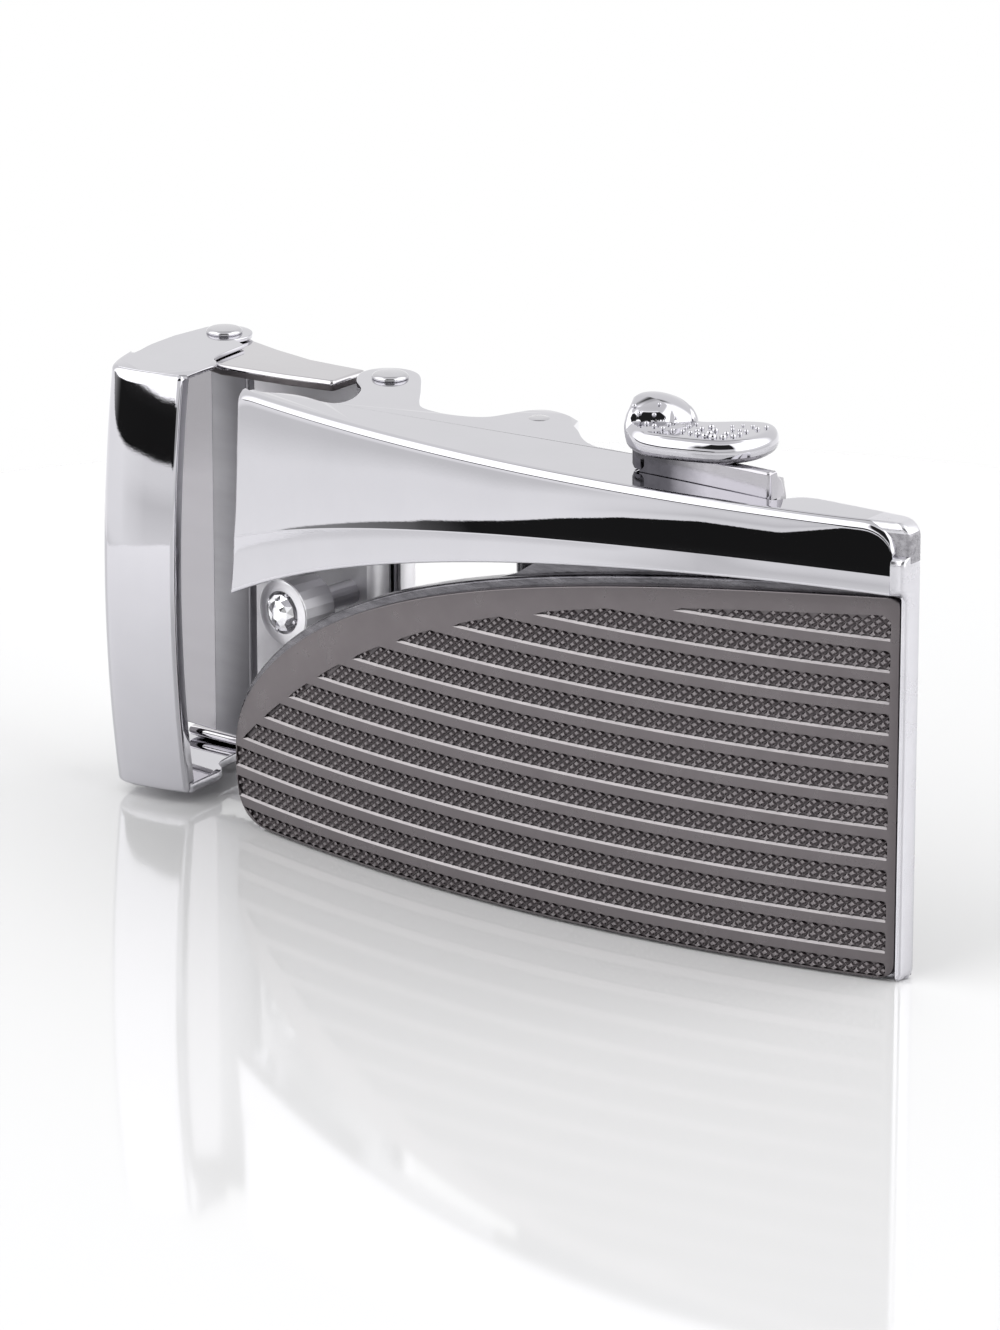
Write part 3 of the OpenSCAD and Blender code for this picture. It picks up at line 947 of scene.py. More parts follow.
        draft = Draft()
        draft.plate(front + (rear + LEVER_NOTCH + [(self.corner_x + 0.1, S.rear_y)])[::-1],
                    S.wall_top, S.body_h, 0.16, 0.12, is_front)
        draft.plate(low_front + (rear + [(10.3, 8.3), (27.0, S.rear_y)] + low_right)[::-1],
                    0.0, S.wall_t, 0.12, 0.16)
        return draft.build("side_walls")

    def panel_step(self) -> Piece:
        """The step round the panel and the web that closes the window at its right."""
        draft = Draft()
        seat = S.panel_t + 0.05
        upper = grown(PANEL_ARC, self.step_w)
        lower = bezier([(-26.5, 0.15), (-30.0, 0.2), (-31.6, 2.2), upper[0]], 12)

        def column(x: float) -> list[Point3]:
            """Section of the step at x, from its rear lower corner round by the front."""
            top = height_at(upper, x) if x < 34.5 else min(height_at(upper, x), self.step_top)
            low = self.low_at(lower, x)
            r = min(self.step_r, (top - low) * 0.3)
            section = [(self.base_depth, low), (seat + r, low), (seat, low + r)]
            section += [(seat, z) for z in evenly(low, top, 4)[1:-1]]
            section += [(seat + r * (1 - math.cos(a)), top - r + r * math.sin(a))
                        for a in quarter(4)]
            section += [(self.base_depth, top)]
            return [(x, min(S.bow_y(x, d), S.rear_y - 0.1), z) for d, z in section]

        left, right = min(p[0] for p in lower + upper), 36.8
        draft.skin([column(left + 0.02 + (right - left) * (1 - math.cos(a))) for a in quarter(90)])
        (start, foot), near, far = WEB_TOP[0], *self.web_depths
        web = []
        for x in evenly(start, right, 60):
            top = height_at(WEB_TOP, x)
            corners = ((far, foot), (near, foot), (near, top), (far, top))
            web.append([(x, min(S.bow_y(x, d), S.rear_y - 0.12), z) for d, z in corners])
        draft.skin(web)
        return draft.build("panel_step", crease=35.0, weighted=False)

    @staticmethod
    def low_at(lower: Sequence[Point2], x: float) -> float:
        """Height of the step's lower edge at x."""
        return height_at(lower[::-1], x) if x < lower[0][0] else lower[0][1]

    def right_end(self) -> Piece:
        """The upright bar that closes the right-hand end, and the brow over its corner."""
        draft = Draft()
        levels = [0.05, 0.1, 0.2, 0.4, 0.65] + evenly(self.foot_r, 32.6, 30)
        levels += evenly(32.6, 33.8, 10)[1:] + [34.2, 34.8, 35.3, self.bar_top]
        levels += [self.bar_top + self.bar_round * math.sin(a) for a in quarter(8, 1)]
        draft.skin([self.end_row(z) for z in levels])
        draft.skin([self.corner_row(self.brow_z + (S.body_h - self.brow_z) * math.sin(a))
                    for a in quarter(12)])
        return draft.build("right_end", crease=40.0, weighted=False)

    def end_corner(self) -> Piece:
        """The rounded corner between the bar and the brow."""
        draft = Draft()
        draft.skin([self.corner_row(z) for z in evenly(self.bar_top + 0.1, self.brow_z, 16)])
        return draft.build("end_corner", crease=40.0, weighted=False)

    def rear_edge(self, x1: float, rear: float) -> list[Point2]:
        """Plan of the rounded upright edge at the right end's rear."""
        r = self.rear_edge_r
        return arc(x1 - r, rear - r, r, 0, 90, 5)

    def corner_row(self, z: float) -> list[Point3]:
        """Plan of the end's upper corner.

        Args:
            z: height of the plan.

        Returns:
            Its points, from the rear left corner round by the front.
        """
        r, turn = self.end_corner_r, self.end_edge_r
        x0 = self.corner_x + 0.1
        x1 = S.end_x - r * round_off(part_way(z, S.body_h - r, S.body_h))
        near, more = self.corner_depth
        depth = near + more * round_off(part_way(z, self.corner_z, S.body_h))
        y1 = S.bow_y(x1 - turn, depth)
        plan = [(x0, S.rear_y)]
        plan += [(x, S.bow_y(x, depth)) for x in evenly(x0, x1 - turn, 12)[:-1]]
        plan += [(x1 - turn + turn * math.sin(a), y1 + turn * (1 - math.cos(a)))
                 for a in quarter(7)]
        return [(x, y, z) for x, y in plan + self.rear_edge(x1, S.rear_y)]

    def end_row(self, z: float) -> list[Point3]:
        """Plan of the right-hand bar.

        Args:
            z: height of the plan.

        Returns:
            Its points, from the front left corner round to the rear.
        """
        inside = self.bar_inset if z > self.bar_top else 0.0
        x1, rear = S.end_x - inside, S.rear_y - inside
        if z < self.foot_r:
            x1 -= self.foot_pull * round_off(1 - z / self.foot_r)
        x0 = S.panel_end_x + 0.1 if z < self.seat_z else self.face_right - 0.07
        swell = part_way(z, *self.swell_z)
        out = self.seat_out + (self.end_out - self.seat_out) * swell * swell * (3 - 2 * swell)
        fall = round_off(part_way(z, self.bar_top, self.bar_top + self.bar_round))
        out -= self.brow_fall * fall
        y0 = S.bow_y(x0) - out
        turn = min(self.end_edge_r, (x1 - x0) * 0.6)
        pull = 0.5 * max(0.0, 1 - z / 0.5) ** 2
        plan = [(x0, y0 + 1.3), (x0, y0 + pull + 0.05), (x0 + 0.05, y0 + pull)]
        plan += arc(x1 - turn, S.bow_y(x1) - out + turn + pull, turn, -100, 0, 7)
        return [(x, y, z) for x, y in plan + self.rear_edge(x1, rear) + [(x0, rear)]]

    def build(self) -> None:
        """Builds and dresses the casting."""
        look = self.finishes
        fit_out(self.swept_face(), Body.BODY, look.chrome, ["casting"])
        fit_out(self.side_walls(), Body.BODY, look.chrome)
        # The end bar takes the lighter chrome: painted light.
        fit_out(self.right_end(), Body.BODY, look.bar)
        # The end corner takes the dark copy of the chrome as painted shade.
        fit_out(self.end_corner(), Body.BODY, look.shaded_chrome)
        # The step takes a very dark finish, partly painted shade in the groove.
        fit_out(self.panel_step(), Body.BODY, look.cast)


@dataclass
class RibbedPanel:
    """The gunmetal inlay: rim, smooth ribs and knurled bands between them.

    The diamonds of the knurling have the size that was counted in the photograph.
    """

    finishes: Finishes
    first_rib: float = 1.58
    rib_pitch: float = 2.678
    rib_h: float = 1.05
    rib_count: int = 11
    band_depth: float = 0.3
    band_right: float = 35.75
    band_z: Point2 = (0.42, 31.35)
    # Where the lowest band starts, and the range of its slanted left end.
    low_band_x: float = -28.2
    low_band_left: Point2 = (-30.6, -28.6)
    rim_w: float = 0.22
    span: float = 0.9
    bevel: float = 0.2
    lap: float = 0.02
    edge_r: float = 0.12
    # The grid of diamonds, and one diamond: its foot and flat top as shares of its size.
    knurl_z: Point2 = (0.3, 31.4)
    knurl_x: float = -31.8
    knurl_drop: float = 0.26
    diamond_w: float = 0.93
    diamond_h: float = 0.78
    diamond_foot: float = 0.97
    diamond_top: float = 0.42
    diamond_rise: float = 0.24

    @staticmethod
    def outline() -> list[Point2]:
        """Closed front outline, anticlockwise from the lower left."""
        end = S.panel_end_x
        low = [(x, 0.2) for x in evenly(-27.2, 35.0, 62)[1:-1]]
        right = bezier([(35.0, 0.2), (35.8, 0.2), (end, 0.7), (end, 1.6)], 6)
        side = [(end, z) for z in evenly(1.6, 32.2, 30)[1:]]
        top = bezier([(end, 32.2), (end, 32.7), (35.9, 32.92), (35.4, 32.9)], 4)[1:]
        return PANEL_LOW_CORNER[::-1] + low + right + side + top + PANEL_ARC[-2:0:-1]

    @staticmethod
    def crossing(line: Sequence[Point2], z: float) -> float | None:
        """x where a line first passes a height, or None where it doesn't."""
        for a, b in zip(line, line[1:]):
            if min(a[1], b[1]) <= z <= max(a[1], b[1]) and a[1] != b[1]:
                return a[0] + (b[0] - a[0]) * (z - a[1]) / (b[1] - a[1])
        return None

    def left_limit(self, z: float) -> float:
        """Left end of the knurled area at a height."""
        if z >= BAND_ARC[0][1]:
            x = self.crossing(BAND_ARC, z)
            return self.band_right if x is None else x
        x = self.crossing(PANEL_ARC[:12] if z > PANEL_ARC[0][1] else PANEL_LOW_CORNER, z)
        return -27.0 if x is None else x + self.rim_w

    def low_limit(self, x: float) -> float:
        """Lower end of the lowest band at x."""
        if x > PANEL_LOW_CORNER[0][0]:
            return self.band_z[0]
        return height_at(PANEL_LOW_CORNER[::-1], x) + self.rim_w

    def band_edges(self, k: int, outer: Point2) -> Point2:
        """Lower and upper edge of a band, with the lowest and the highest edge of all."""
        low = outer[0] if k < 0 else self.first_rib + self.rib_pitch * k + self.rib_h
        last = k == self.rib_count - 1
        return low, outer[1] if last else self.first_rib + self.rib_pitch * (k + 1)

    def along(self, start: float, end: float) -> list[float]:
        """Places from start to end about a span apart, and nine at the least."""
        return evenly(start, end, max(int(abs(end - start) / self.span), 8))

    def band(self, k: int) -> tuple[list[Point2], list[Point2]]:
        """One knurled band.

        Args:
            k: its number, from -1 for the one below the lowest rib.

        Returns:
            The outline of its floor and the wider one of its mouth.
        """
        first, last, right = k < 0, k == self.rib_count - 1, self.band_right
        low, high = self.band_edges(k, self.band_z)
        start = self.low_band_x if first else self.left_limit(low + 0.01)
        floor = [(x, self.low_limit(x) if first else low) for x in self.along(start, right)]
        mouth = [(x, z - (self.lap if first else self.bevel)) for x, z in floor]
        mouth[0] = (mouth[0][0] - self.bevel, mouth[0][1])
        right_top = min(high, height_at(BAND_ARC, right)) if last else high
        runs = [([(right, z) for z in evenly(low, right_top, 4)[1:-1]], 0.05, 0.0)]
        if last:
            runs.append(([(x, max(height_at(BAND_ARC, x), low + 0.05))
                          for x in evenly(right, start, 30)[1:-1]], 0.0, 0.03))
        else:
            left = [(self.left_limit(z), z) for z in evenly(high, low, 6)[1:-1]]
            if first:
                slant = evenly(*self.low_band_left, 6)[1:-1]
                left = [(x, max(self.low_limit(x), z)) for x, (_, z) in zip(slant, left)]
                left = [(max(x, self.left_limit(max(z, 0.45))), z) for x, z in left]
            runs.append(([(x, high) for x in self.along(right, self.left_limit(high))],
                         0.0, self.lap))
            runs.append((left, -0.04, 0.0))
        for run, dx, dz in runs:
            floor += run
            mouth += [(x + dx, z + dz) for x, z in run]
        return floor, mouth

    def bands(self) -> list[tuple[list[Point2], list[Point2]]]:
        """Floor and mouth of every band, from the lowest."""
        return [self.band(k) for k in range(-1, self.rib_count)]

    @staticmethod
    def triangles(loops: Sequence[Sequence[Point2]]) -> tuple[
            list[Vector], list[tuple[Sequence[int], Vector]]]:
        """Triangles between closed outlines.

        Args:
            loops: the outlines.

        Returns:
            The points, and each triangle with its middle.
        """
        edges: list[tuple[int, int]] = []
        first = 0
        for loop in loops:
            n = len(loop)
            edges += [(first + i, first + (i + 1) % n) for i in range(n)]
            first += n
        flat = [Vector(p) for loop in loops for p in loop]
        verts, _, tris, _, _, _ = geometry.delaunay_2d_cdt(flat, edges, [], 0, 1e-5)
        return verts, [(t, (verts[t[0]] + verts[t[1]] + verts[t[2]]) / 3) for t in tris]

    @staticmethod
    def inside(outline: Sequence[Point2], p: Vector) -> bool:
        """Whether a point is inside a closed outline."""
        hit = False
        for a, b in zip(outline, [*outline[1:], outline[0]]):
            if (a[1] > p.y) != (b[1] > p.y):
                hit ^= p.x < (b[0] - a[0]) * (p.y - a[1]) / (b[1] - a[1]) + a[0]
        return hit

    @staticmethod
    def fill(draft: Draft, outline: Sequence[Point2], depth: float) -> None:
        """Fills an outline with triangles that lie on the bow.

        Args:
            draft: where they go.
            outline: the closed outline.
            depth: how far behind the front they lie.
        """
        verts, tris = RibbedPanel.triangles([outline])
        ids = draft.ring([(v.x, S.bow_y(v.x, depth), v.y) for v in verts])
        draft.faces += [tuple(ids[i] for i in tri) for tri, middle in tris
                        if RibbedPanel.inside(outline, middle)]

    def shell(self) -> Piece:
        """The rim and ribs in front, the bands' sides, and the panel's edge and back."""
        draft = Draft()
        outline, bands = self.outline(), self.bands()
        front = inset(outline, self.edge_r)
        mouths = [(min(p[1] for p in m), max(p[1] for p in m), m) for _, m in bands]
        verts, tris = self.triangles([front] + [m for _, m in bands])
        ids = draft.ring([(v.x, S.bow_y(v.x), v.y) for v in verts])
        for tri, at in tris:
            open_here = any(lo < at.y < hi and self.inside(m, at) for lo, hi, m in mouths)
            if self.inside(front, at) and not open_here:
                draft.faces.append(tuple(ids[i] for i in tri))
        for floor, mouth in bands:
            lines = (mouth, 0.0), (floor, self.band_depth / 2), (floor, self.band_depth)
            top, mid, low = (draft.ring([(x, S.bow_y(x, depth), z) for x, z in line])
                             for line, depth in lines)
            for i, j in self.sides(mouth):
                draft.faces.append((mid[i], mid[j], low[j], low[i]))
                if not self.is_edge(mouth[i], mouth[j], floor[i], floor[j]):
                    draft.faces.append((top[i], top[j], mid[j], mid[i]))
        r = self.edge_r
        rounding = [[(x, S.bow_y(x, r * (1 - math.sin(a))), z)
                     for x, z in inset(outline, r * (1 - math.cos(a)))] for a in quarter(3)]
        rear = [(x, S.bow_y(x, S.panel_t), z) for x, z in outline]
        draft.skin([rear, *rounding], True, False)
        self.fill(draft, outline, S.panel_t)
        return draft.build("panel_ribs", crease=32.0, weighted=False)

    @staticmethod
    def sides(outline: Sequence[Point2]) -> list[tuple[int, int]]:
        """Numbers of the two ends of each side of a closed outline."""
        return [(i, (i + 1) % len(outline)) for i in range(len(outline))]

    @staticmethod
    def is_edge(a: Point2, b: Point2, c: Point2, d: Point2) -> bool:
        """Whether a side of a band's mouth is the bevel on the rib below it."""
        return c[1] - a[1] > 0.1 and d[1] - b[1] > 0.1

    def rib_edges(self) -> Piece:
        """The bevels along the upper edges of the ribs."""
        draft = Draft()
        half = self.band_depth / 2
        for floor, mouth in self.bands():
            for i, j in self.sides(mouth):
                if self.is_edge(mouth[i], mouth[j], floor[i], floor[j]):
                    corners = ((mouth[i], 0.0), (mouth[j], 0.0), (floor[j], half), (floor[i], half))
                    draft.faces.append(tuple(draft.ring(
                        [(x, S.bow_y(x, depth), z) for (x, z), depth in corners])))
        return draft.build("panel_rib_edges", crease=40.0, weighted=False)

    def floors(self) -> Piece:
        """The floors of the knurled bands."""
        draft = Draft()
        for floor, _ in self.bands():
            self.fill(draft, floor, self.band_depth - 0.005)
        return draft.build("panel_band_floors", crease=32.0, weighted=False)

    def is_knurled(self, x: float, z: float) -> bool:
        """Whether a diamond's middle may stand here."""
        if x <= self.left_limit(z) + 0.1 or z <= self.low_limit(x) - 0.1:
            return False
        return x < -30 or z < height_at(BAND_ARC, x) - 0.05

    def knurl(self) -> Piece:
        """The small flat-topped diamonds that stand in the bands."""
        draft = Draft()
        half_w, half_h = self.diamond_w / 2, self.diamond_h / 2
        for k in range(-1, self.rib_count):
            low, high = self.band_edges(k, self.knurl_z)
            for r in range(math.ceil((high - low) / half_h - 0.3) if k >= 0 else 3):
                z = high - self.knurl_drop - half_h * r
                x = self.knurl_x + (half_w if r % 2 else 0.0)
                while x < self.band_right:
                    if self.is_knurled(x, z):
                        self.diamond(draft, (x, z), low, high)
                    x += self.diamond_w
        return draft.build("panel_knurl", crease=20.0, weighted=False)

    def diamond(self, draft: Draft, middle: Point2, low: float, high: float) -> None:
        """One diamond.

        Args:
            draft: where it goes.
            middle: its middle, along the panel and across it.
            low: lower edge of its band.
            high: upper edge of its band.
        """
        (x, z), half_w, half_h = middle, self.diamond_w / 2, self.diamond_h / 2
        foot, top = [], []
        for dx, dz in ((-1, 0), (0, -1), (1, 0), (0, 1)):
            fx = min(x + dx * half_w * self.diamond_foot, self.band_right)
            fz = min(max(z + dz * half_h * self.diamond_foot, low + 0.01), high - 0.01)
            tx = x + dx * half_w * self.diamond_top
            tz = min(max(z + dz * half_h * self.diamond_top, low + 0.03), high - 0.03)
            foot.append((fx, S.bow_y(fx, self.band_depth + 0.03), fz))
            top.append((tx, S.bow_y(tx, self.band_depth - self.diamond_rise), tz))
        a, b = draft.ring(foot), draft.ring(top)
        draft.bridge(a, b)
        draft.faces.append(tuple(b))

    def build(self) -> None:
        """Builds and dresses the panel."""
        look = self.finishes
        fit_out(self.shell(), Body.BODY, look.gunmetal, ["panel"])
        fit_out(self.floors(), Body.BODY, look.ground_and_shade)
        # The rib bevels take the lighter gunmetal: a painted highlight.
        fit_out(self.rib_edges(), Body.BODY, look.edge)
        fit_out(self.knurl(), Body.BODY, look.knurl)


# Plan of the loop's face and the side that it turns into, seen in its own axes.
LOOP_OUTER = smooth([(-0.3, 0.0), (-2.2, -0.1), (-3.9, -0.05), (-5.6, 0.14), (-6.8, 0.5),
                     (-7.45, 1.15), (-7.85, 2.3), (-8.05, 3.6), (-8.2, 5.4)], 6)
# Plan of an ear: its edge by the strap, and its left end.
EAR_EDGE = smooth([(-37.5, 5.0), (-37.62, 6.4), (-37.7, 7.8), (-37.75, 9.1), (-38.3, 10.0),
                   (-39.2, 10.8), (-39.6, 12.5), (-39.85, 15.7)], 4)
EAR_LEFT = smooth([(-46.7, 14.4), (-46.5, 11.0), (-46.05, 8.9)], 4)


@dataclass
class KeeperLoop:
    """The domed keeper loop with its two ears and its toothed jaw."""

    finishes: Finishes
    dome_r: float = 90.0
    corner: Point2 = (-37.2, 2.5)
    face_angle: float = 12.0
    face_t: float = 1.3
    edge_r: float = 0.45
    rows_up: int = 60
    # The jaw, along its own x: end of its bright root, end of its blade, and its teeth.
    root_w: float = 5.6
    blade_w: float = 10.0
    tooth_x: float = 5.2
    tooth_pitch: float = 1.1
    # How far along the section's outer line an ear follows the face, and how far inside.
    ear_points: int = 41
    ear_inset: float = 0.34

    def section(self) -> list[Point2]:
        """Closed plan section of the face, in its own axes."""
        t = self.face_t
        inner = smooth([(t - 8.2, 5.4), (t - 8.0, 3.4), (t - 7.6, 2.0), (-5.4, t),
                        (-3.4, t - 0.1), (0.0, t)], 5)
        return [(0.0, 0.35), (-0.09, 0.12)] + LOOP_OUTER + inner

    def at_height(self, p: Point2, z: float) -> Point3:
        """A point of the section, carried round the dome.

        Args:
            p: the point, in the section's own axes.
            z: the height that it is carried to.

        Returns:
            The point among the maker's axes.
        """
        mid = (S.loop_z0 + S.loop_z1) / 2
        r = self.dome_r - p[1]
        y = self.dome_r - math.sqrt(r * r - (z - mid) ** 2)
        a = math.radians(self.face_angle)
        return (self.corner[0] + p[0] * math.cos(a) - y * math.sin(a),
                self.corner[1] + p[0] * math.sin(a) + y * math.cos(a), z)

    def face(self) -> Piece:
        """The domed face and the side that it turns into."""
        draft = Draft()
        section = self.section()
        z0, z1 = S.loop_z0 + self.edge_r, S.loop_z1 - self.edge_r
        rows = [[self.at_height(p, z) for p in section] for z in evenly(z0, z1, self.rows_up)]
        for a in quarter(5, 1):
            plan = drawn_in(section, self.edge_r * (1 - math.cos(a)))
            rows.append([self.at_height(p, z1 + self.edge_r * math.sin(a)) for p in plan])
            rows.insert(0, [self.at_height(p, z0 - self.edge_r * math.sin(a)) for p in plan])
        draft.skin(rows)
        return draft.build("loop_face", crease=40.0, weighted=False)

    def ear(self, level: float) -> list[Point2]:
        """Plan of an ear that carries on from the face, which it meets at this height."""
        drawn = drawn_in(self.section(), self.ear_inset)
        outer = [self.at_height(p, level)[:2] for p in drawn[1:self.ear_points]]
        pivot = arc(*S.loop_pivot, 2.5, -30, 170, 20)
        return EAR_EDGE + pivot + EAR_LEFT + outer[::-1]

    def ears(self) -> Piece:
        """Both ears, as flat plates with rounded edges."""
        draft = Draft()
        low, high = S.loop_z0, S.loop_z1
        draft.plate(self.ear(high - self.edge_r), S.arm_top_z1 + 0.1, high + 0.01, 0.1, 0.04)
        draft.plate(self.ear(low + self.edge_r), low - 0.01, low + S.ear_t, 0.12, 0.28)
        return draft.build("loop_ears")

    @staticmethod
    def jaw_axes() -> Matrix:
        """Where the jaw's own axes stand."""
        return Matrix.Translation((-46.5, 14.2, 0)) @ Matrix.Rotation(math.radians(-6), 4, "Z")

    @property
    def blade_z(self) -> Point2:
        """Lower and upper end of the jaw, between the clamp's arms."""
        return S.arm_low_z1 + 0.9, S.arm_top_z0 - 0.05

    def jaw(self) -> Piece:
        """The toothed blade that folds in from the loop's outer side."""
        draft = Draft(self.jaw_axes())
        (z0, z1), start, end = self.blade_z, self.root_w, self.blade_w
        blade = [(start, -1), (end, -1), (end, 0), (start, 0)]
        draft.plate(rounded(blade, {1: 0.3, 2: 0.3}), z0, z1, 0.1, 0.2)
        for k in range(3):
            x = self.tooth_x + self.tooth_pitch * k
            tooth = [(x, -0.2), (x + 1, -0.2), (x + 1, 0.75)]
            draft.plate(tooth, z0 + 0.1, z1 - 0.1, 0.04, 0.04)
        return draft.build("loop_jaw")

    def jaw_root(self) -> Piece:
        """The bright bend that carries the jaw."""
        draft = Draft(self.jaw_axes())
        bend = [(0, -1), (1, -1), (1, 0), (0, 0)]
        draft.plate(bend, S.loop_z0 + 0.5, S.loop_z1 - 0.5, 0.1, 0.1)
        root = [(0.1, -1.02), (self.root_w, -1.02), (self.root_w, 0.02), (0.1, 0.02)]
        draft.plate(root, *self.blade_z, 0.2, 0.2)
        return draft.build("loop_jaw_root")

    def build(self) -> None:
        """Builds and dresses the loop."""
        fit_out(self.face(), Body.LOOP, self.finishes.chrome, ["loop"])
        fit_out(self.ears(), Body.LOOP, self.finishes.chrome)
        fit_out(self.jaw_root(), Body.LOOP, self.finishes.root_nickel)
        fit_out(self.jaw(), Body.LOOP, self.finishes.dull_nickel)


# Plans of the clamp's arms up to their round at the loop's pivot, and the upper one's nose.
UPPER_ARM = [(-38.4, 10.6), (-32.0, 11.45), (-27.3, 12.35), (-27.3, 17.1), (-30.2, 16.95),
             (-33.2, 16.9), (-37.5, 17.7), (-40.8, 18.6)]
UPPER_NOSE = [(-45.3, 15.6), (-44.6, 12.3)]
LOWER_ARM = [(-45.9, 14.7), (-36.0, 14.6), (-27.95, 14.6), (-27.95, 17.7), (-36.4, 19.2),
             (-41.3, 20.2)]
# The strip of sheet that runs from the back plate into the barrel.
BARREL_ROOT = [(-26.6, 17.6), (-22.6, 16.85), (-22.8, 16.2), (-26.2, 16.5)]


@dataclass
class StrapClamp:
    """The sheet-metal clamp: two arms, the back plate, the rolled barrel and the stud."""

    finishes: Finishes
    plate_at: Point3 = (-41.1, 19.4, 0.0)
    plate_angle: float = -7.1
    plate_l: float = 15.6
    pivot_round: float = 2.2
    upper_t: float = 0.4
    seam_at: float = -43.0
    seam_half: float = 14.0
    barrel_r: float = 2.1
    stud_x: float = 12.3
    stud_z: float = 18.2
    stud_reach: float = 9.5
    stud_d: float = 5.8
    stud_l: float = 3.7
    stone_d: float = 3.3
    stone_sides: int = 12
    cup_depth: float = 1.2
    head_h: float = 0.5

    def plate_axes(self) -> Matrix:
        """Where the back plate's own axes stand."""
        turn = Matrix.Rotation(math.radians(self.plate_angle), 4, "Z")
        return Matrix.Translation(self.plate_at) @ turn

    def stud_axes(self) -> Matrix:
        """Where the stud's own axes stand, with z running from its head to the plate."""
        out = Matrix.Translation((self.stud_x, -self.stud_reach, self.stud_z))
        return self.plate_axes() @ out @ Matrix.Rotation(math.radians(-90), 4, "X")

    def arms(self) -> tuple[Piece, Piece]:
        """Both arms, and the upper one's lower layer, dark as painted shade under its edge."""
        draft, shade_layer = Draft(), Draft()
        rear = arc(*S.loop_pivot, self.pivot_round, 70, 200, 8)
        upper = rounded(UPPER_ARM + rear + UPPER_NOSE, {2: 0.4, 3: 0.5})
        draft.plate(upper, S.arm_top_z1 - self.upper_t, S.arm_top_z1, 0.36, 0.02, None, 5)
        shade_layer.plate(inset(upper, 0.02), S.arm_top_z0, S.arm_top_z1 - 0.39, 0.02, 0.15)
        low = rounded(LOWER_ARM + arc(*S.loop_pivot, self.pivot_round, 100, 180, 8), {2: 0.5})
        draft.plate(low, S.arm_low_z0, S.arm_low_z1, 0.52, 0.52, None, 5)
        return draft.build("clamp_arms"), shade_layer.build("clamp_arm_painted_shade")

    def back_plate(self) -> Piece:
        """The back plate, between the arms."""
        draft = Draft(self.plate_axes())
        plan = [(0, -S.sheet_t), (self.plate_l, -S.sheet_t), (self.plate_l, 0), (0, 0)]
        draft.plate(plan, S.arm_low_z0 + 0.3, S.arm_top_z0 + 0.2, 0.3, 0.3)
        return draft.build("clamp_plate")

    def barrel(self) -> Piece:
        """The barrel that is rolled round the hinge pin, open along its seam."""
        draft = Draft()
        z0, z1 = S.arm_low_z1 + 0.02, S.arm_top_z0 - 0.02
        first, last, half = self.seam_at, self.seam_at + 360, self.seam_half
        outer = arc(*S.hinge, self.barrel_r, first + half, last - half, 40)
        inner = arc(*S.hinge, S.pin_r + 0.06, last - half * 1.6, first + half * 1.6, 32)
        draft.plate(outer + inner, z0, z1, 0.12, 0.12)
        draft.plate(BARREL_ROOT, z0, z1, 0.05, 0.05)
        return draft.build("clamp_barrel")

    def rivets(self) -> list[Piece]:
        """The two short rivets that the loop turns on."""
        made = []
        r = S.rivet_r
        foot = [(r + 0.25, 0.0), (r + 0.3, 0.06), (r + 0.3, 0.28), (r, 0.3)]
        for name, up, base, inner in (
                ("loop_rivet_head_top", 1.0, S.loop_z1, S.arm_top_z0 - 0.3),
                ("loop_rivet_head_low", -1.0, S.loop_z0, S.arm_low_z1 + 0.3)):
            profile = [(p, inner + up * z) for p, z in foot] + [(r, base)]
            profile += [(p, base + up * z) for p, z in head_profile(S.head_r, self.head_h)]
            draft = Draft()
            draft.lathe(S.loop_pivot, profile, 56)
            made.append(draft.build(name, crease=50.0, weighted=False))
        return made

    def stud(self) -> Piece:
        """The stud's satin face, with its recess for the stone."""
        draft = Draft(self.stud_axes())
        r, cup, deep = self.stud_d / 2, self.stone_d / 2 + 0.22, self.cup_depth
        draft.lathe((0.0, 0.0), [
            (0.0, deep), (cup - 0.25, deep), (cup - 0.1, 0.35), (cup, 0.08), (cup + 0.06, 0.0),
            (r - 0.14, 0.0), (r - 0.04, 0.04), (r, 0.14), (r, 0.2), (0.0, 1.25)], 64)
        return draft.build("stud_head", crease=32.0, weighted=False)

    def stud_side(self) -> Piece:
        """The stud's bright side with its flats, and its shank."""
        draft = Draft(self.stud_axes())
        r, rear, reach = self.stud_d / 2, self.stud_l, self.stud_reach
        draft.lathe((0.0, 0.0), [
            (0.0, 1.3), (r - 0.02, 0.17), (r, 0.3), (r, rear - 0.12), (r - 0.14, rear),
            (1.1, rear), (1.1, reach - 0.02), (0.0, reach)], 22)
        return draft.build("stud_side", crease=12.0, weighted=False)

    def stone(self) -> Piece:
        """The stone: table, two rows of crown facets, girdle and pavilion."""
        draft = Draft(self.stud_axes() @ Matrix.Translation((0, 0, -0.12)))
        r, n = self.stone_d / 2, self.stone_sides
        rows = (0.36, -0.56, 0.0), (0.7, -0.4, 0.5), (1.0, -0.02, 0.0), (1.0, 0.06, 0.0)
        table, star, belt, under = (draft.ring(circle(r * share, z, n, turn=turn))
                                    for share, z, turn in rows)
        draft.faces.append(tuple(table))
        for i in range(n):
            j = (i + 1) % n
            draft.faces += [(table[i], table[j], star[i]), (star[i], table[j], star[j]),
                            (belt[i], star[i], belt[j]), (star[i], star[j], belt[j])]
        draft.bridge(belt, under)
        tip = draft.ring([(0.0, 0.0, 0.95)])[0]
        draft.faces += [(under[i], under[(i + 1) % n], tip) for i in range(n)]
        return draft.build("stud_stone", crease=1.0, weighted=False)

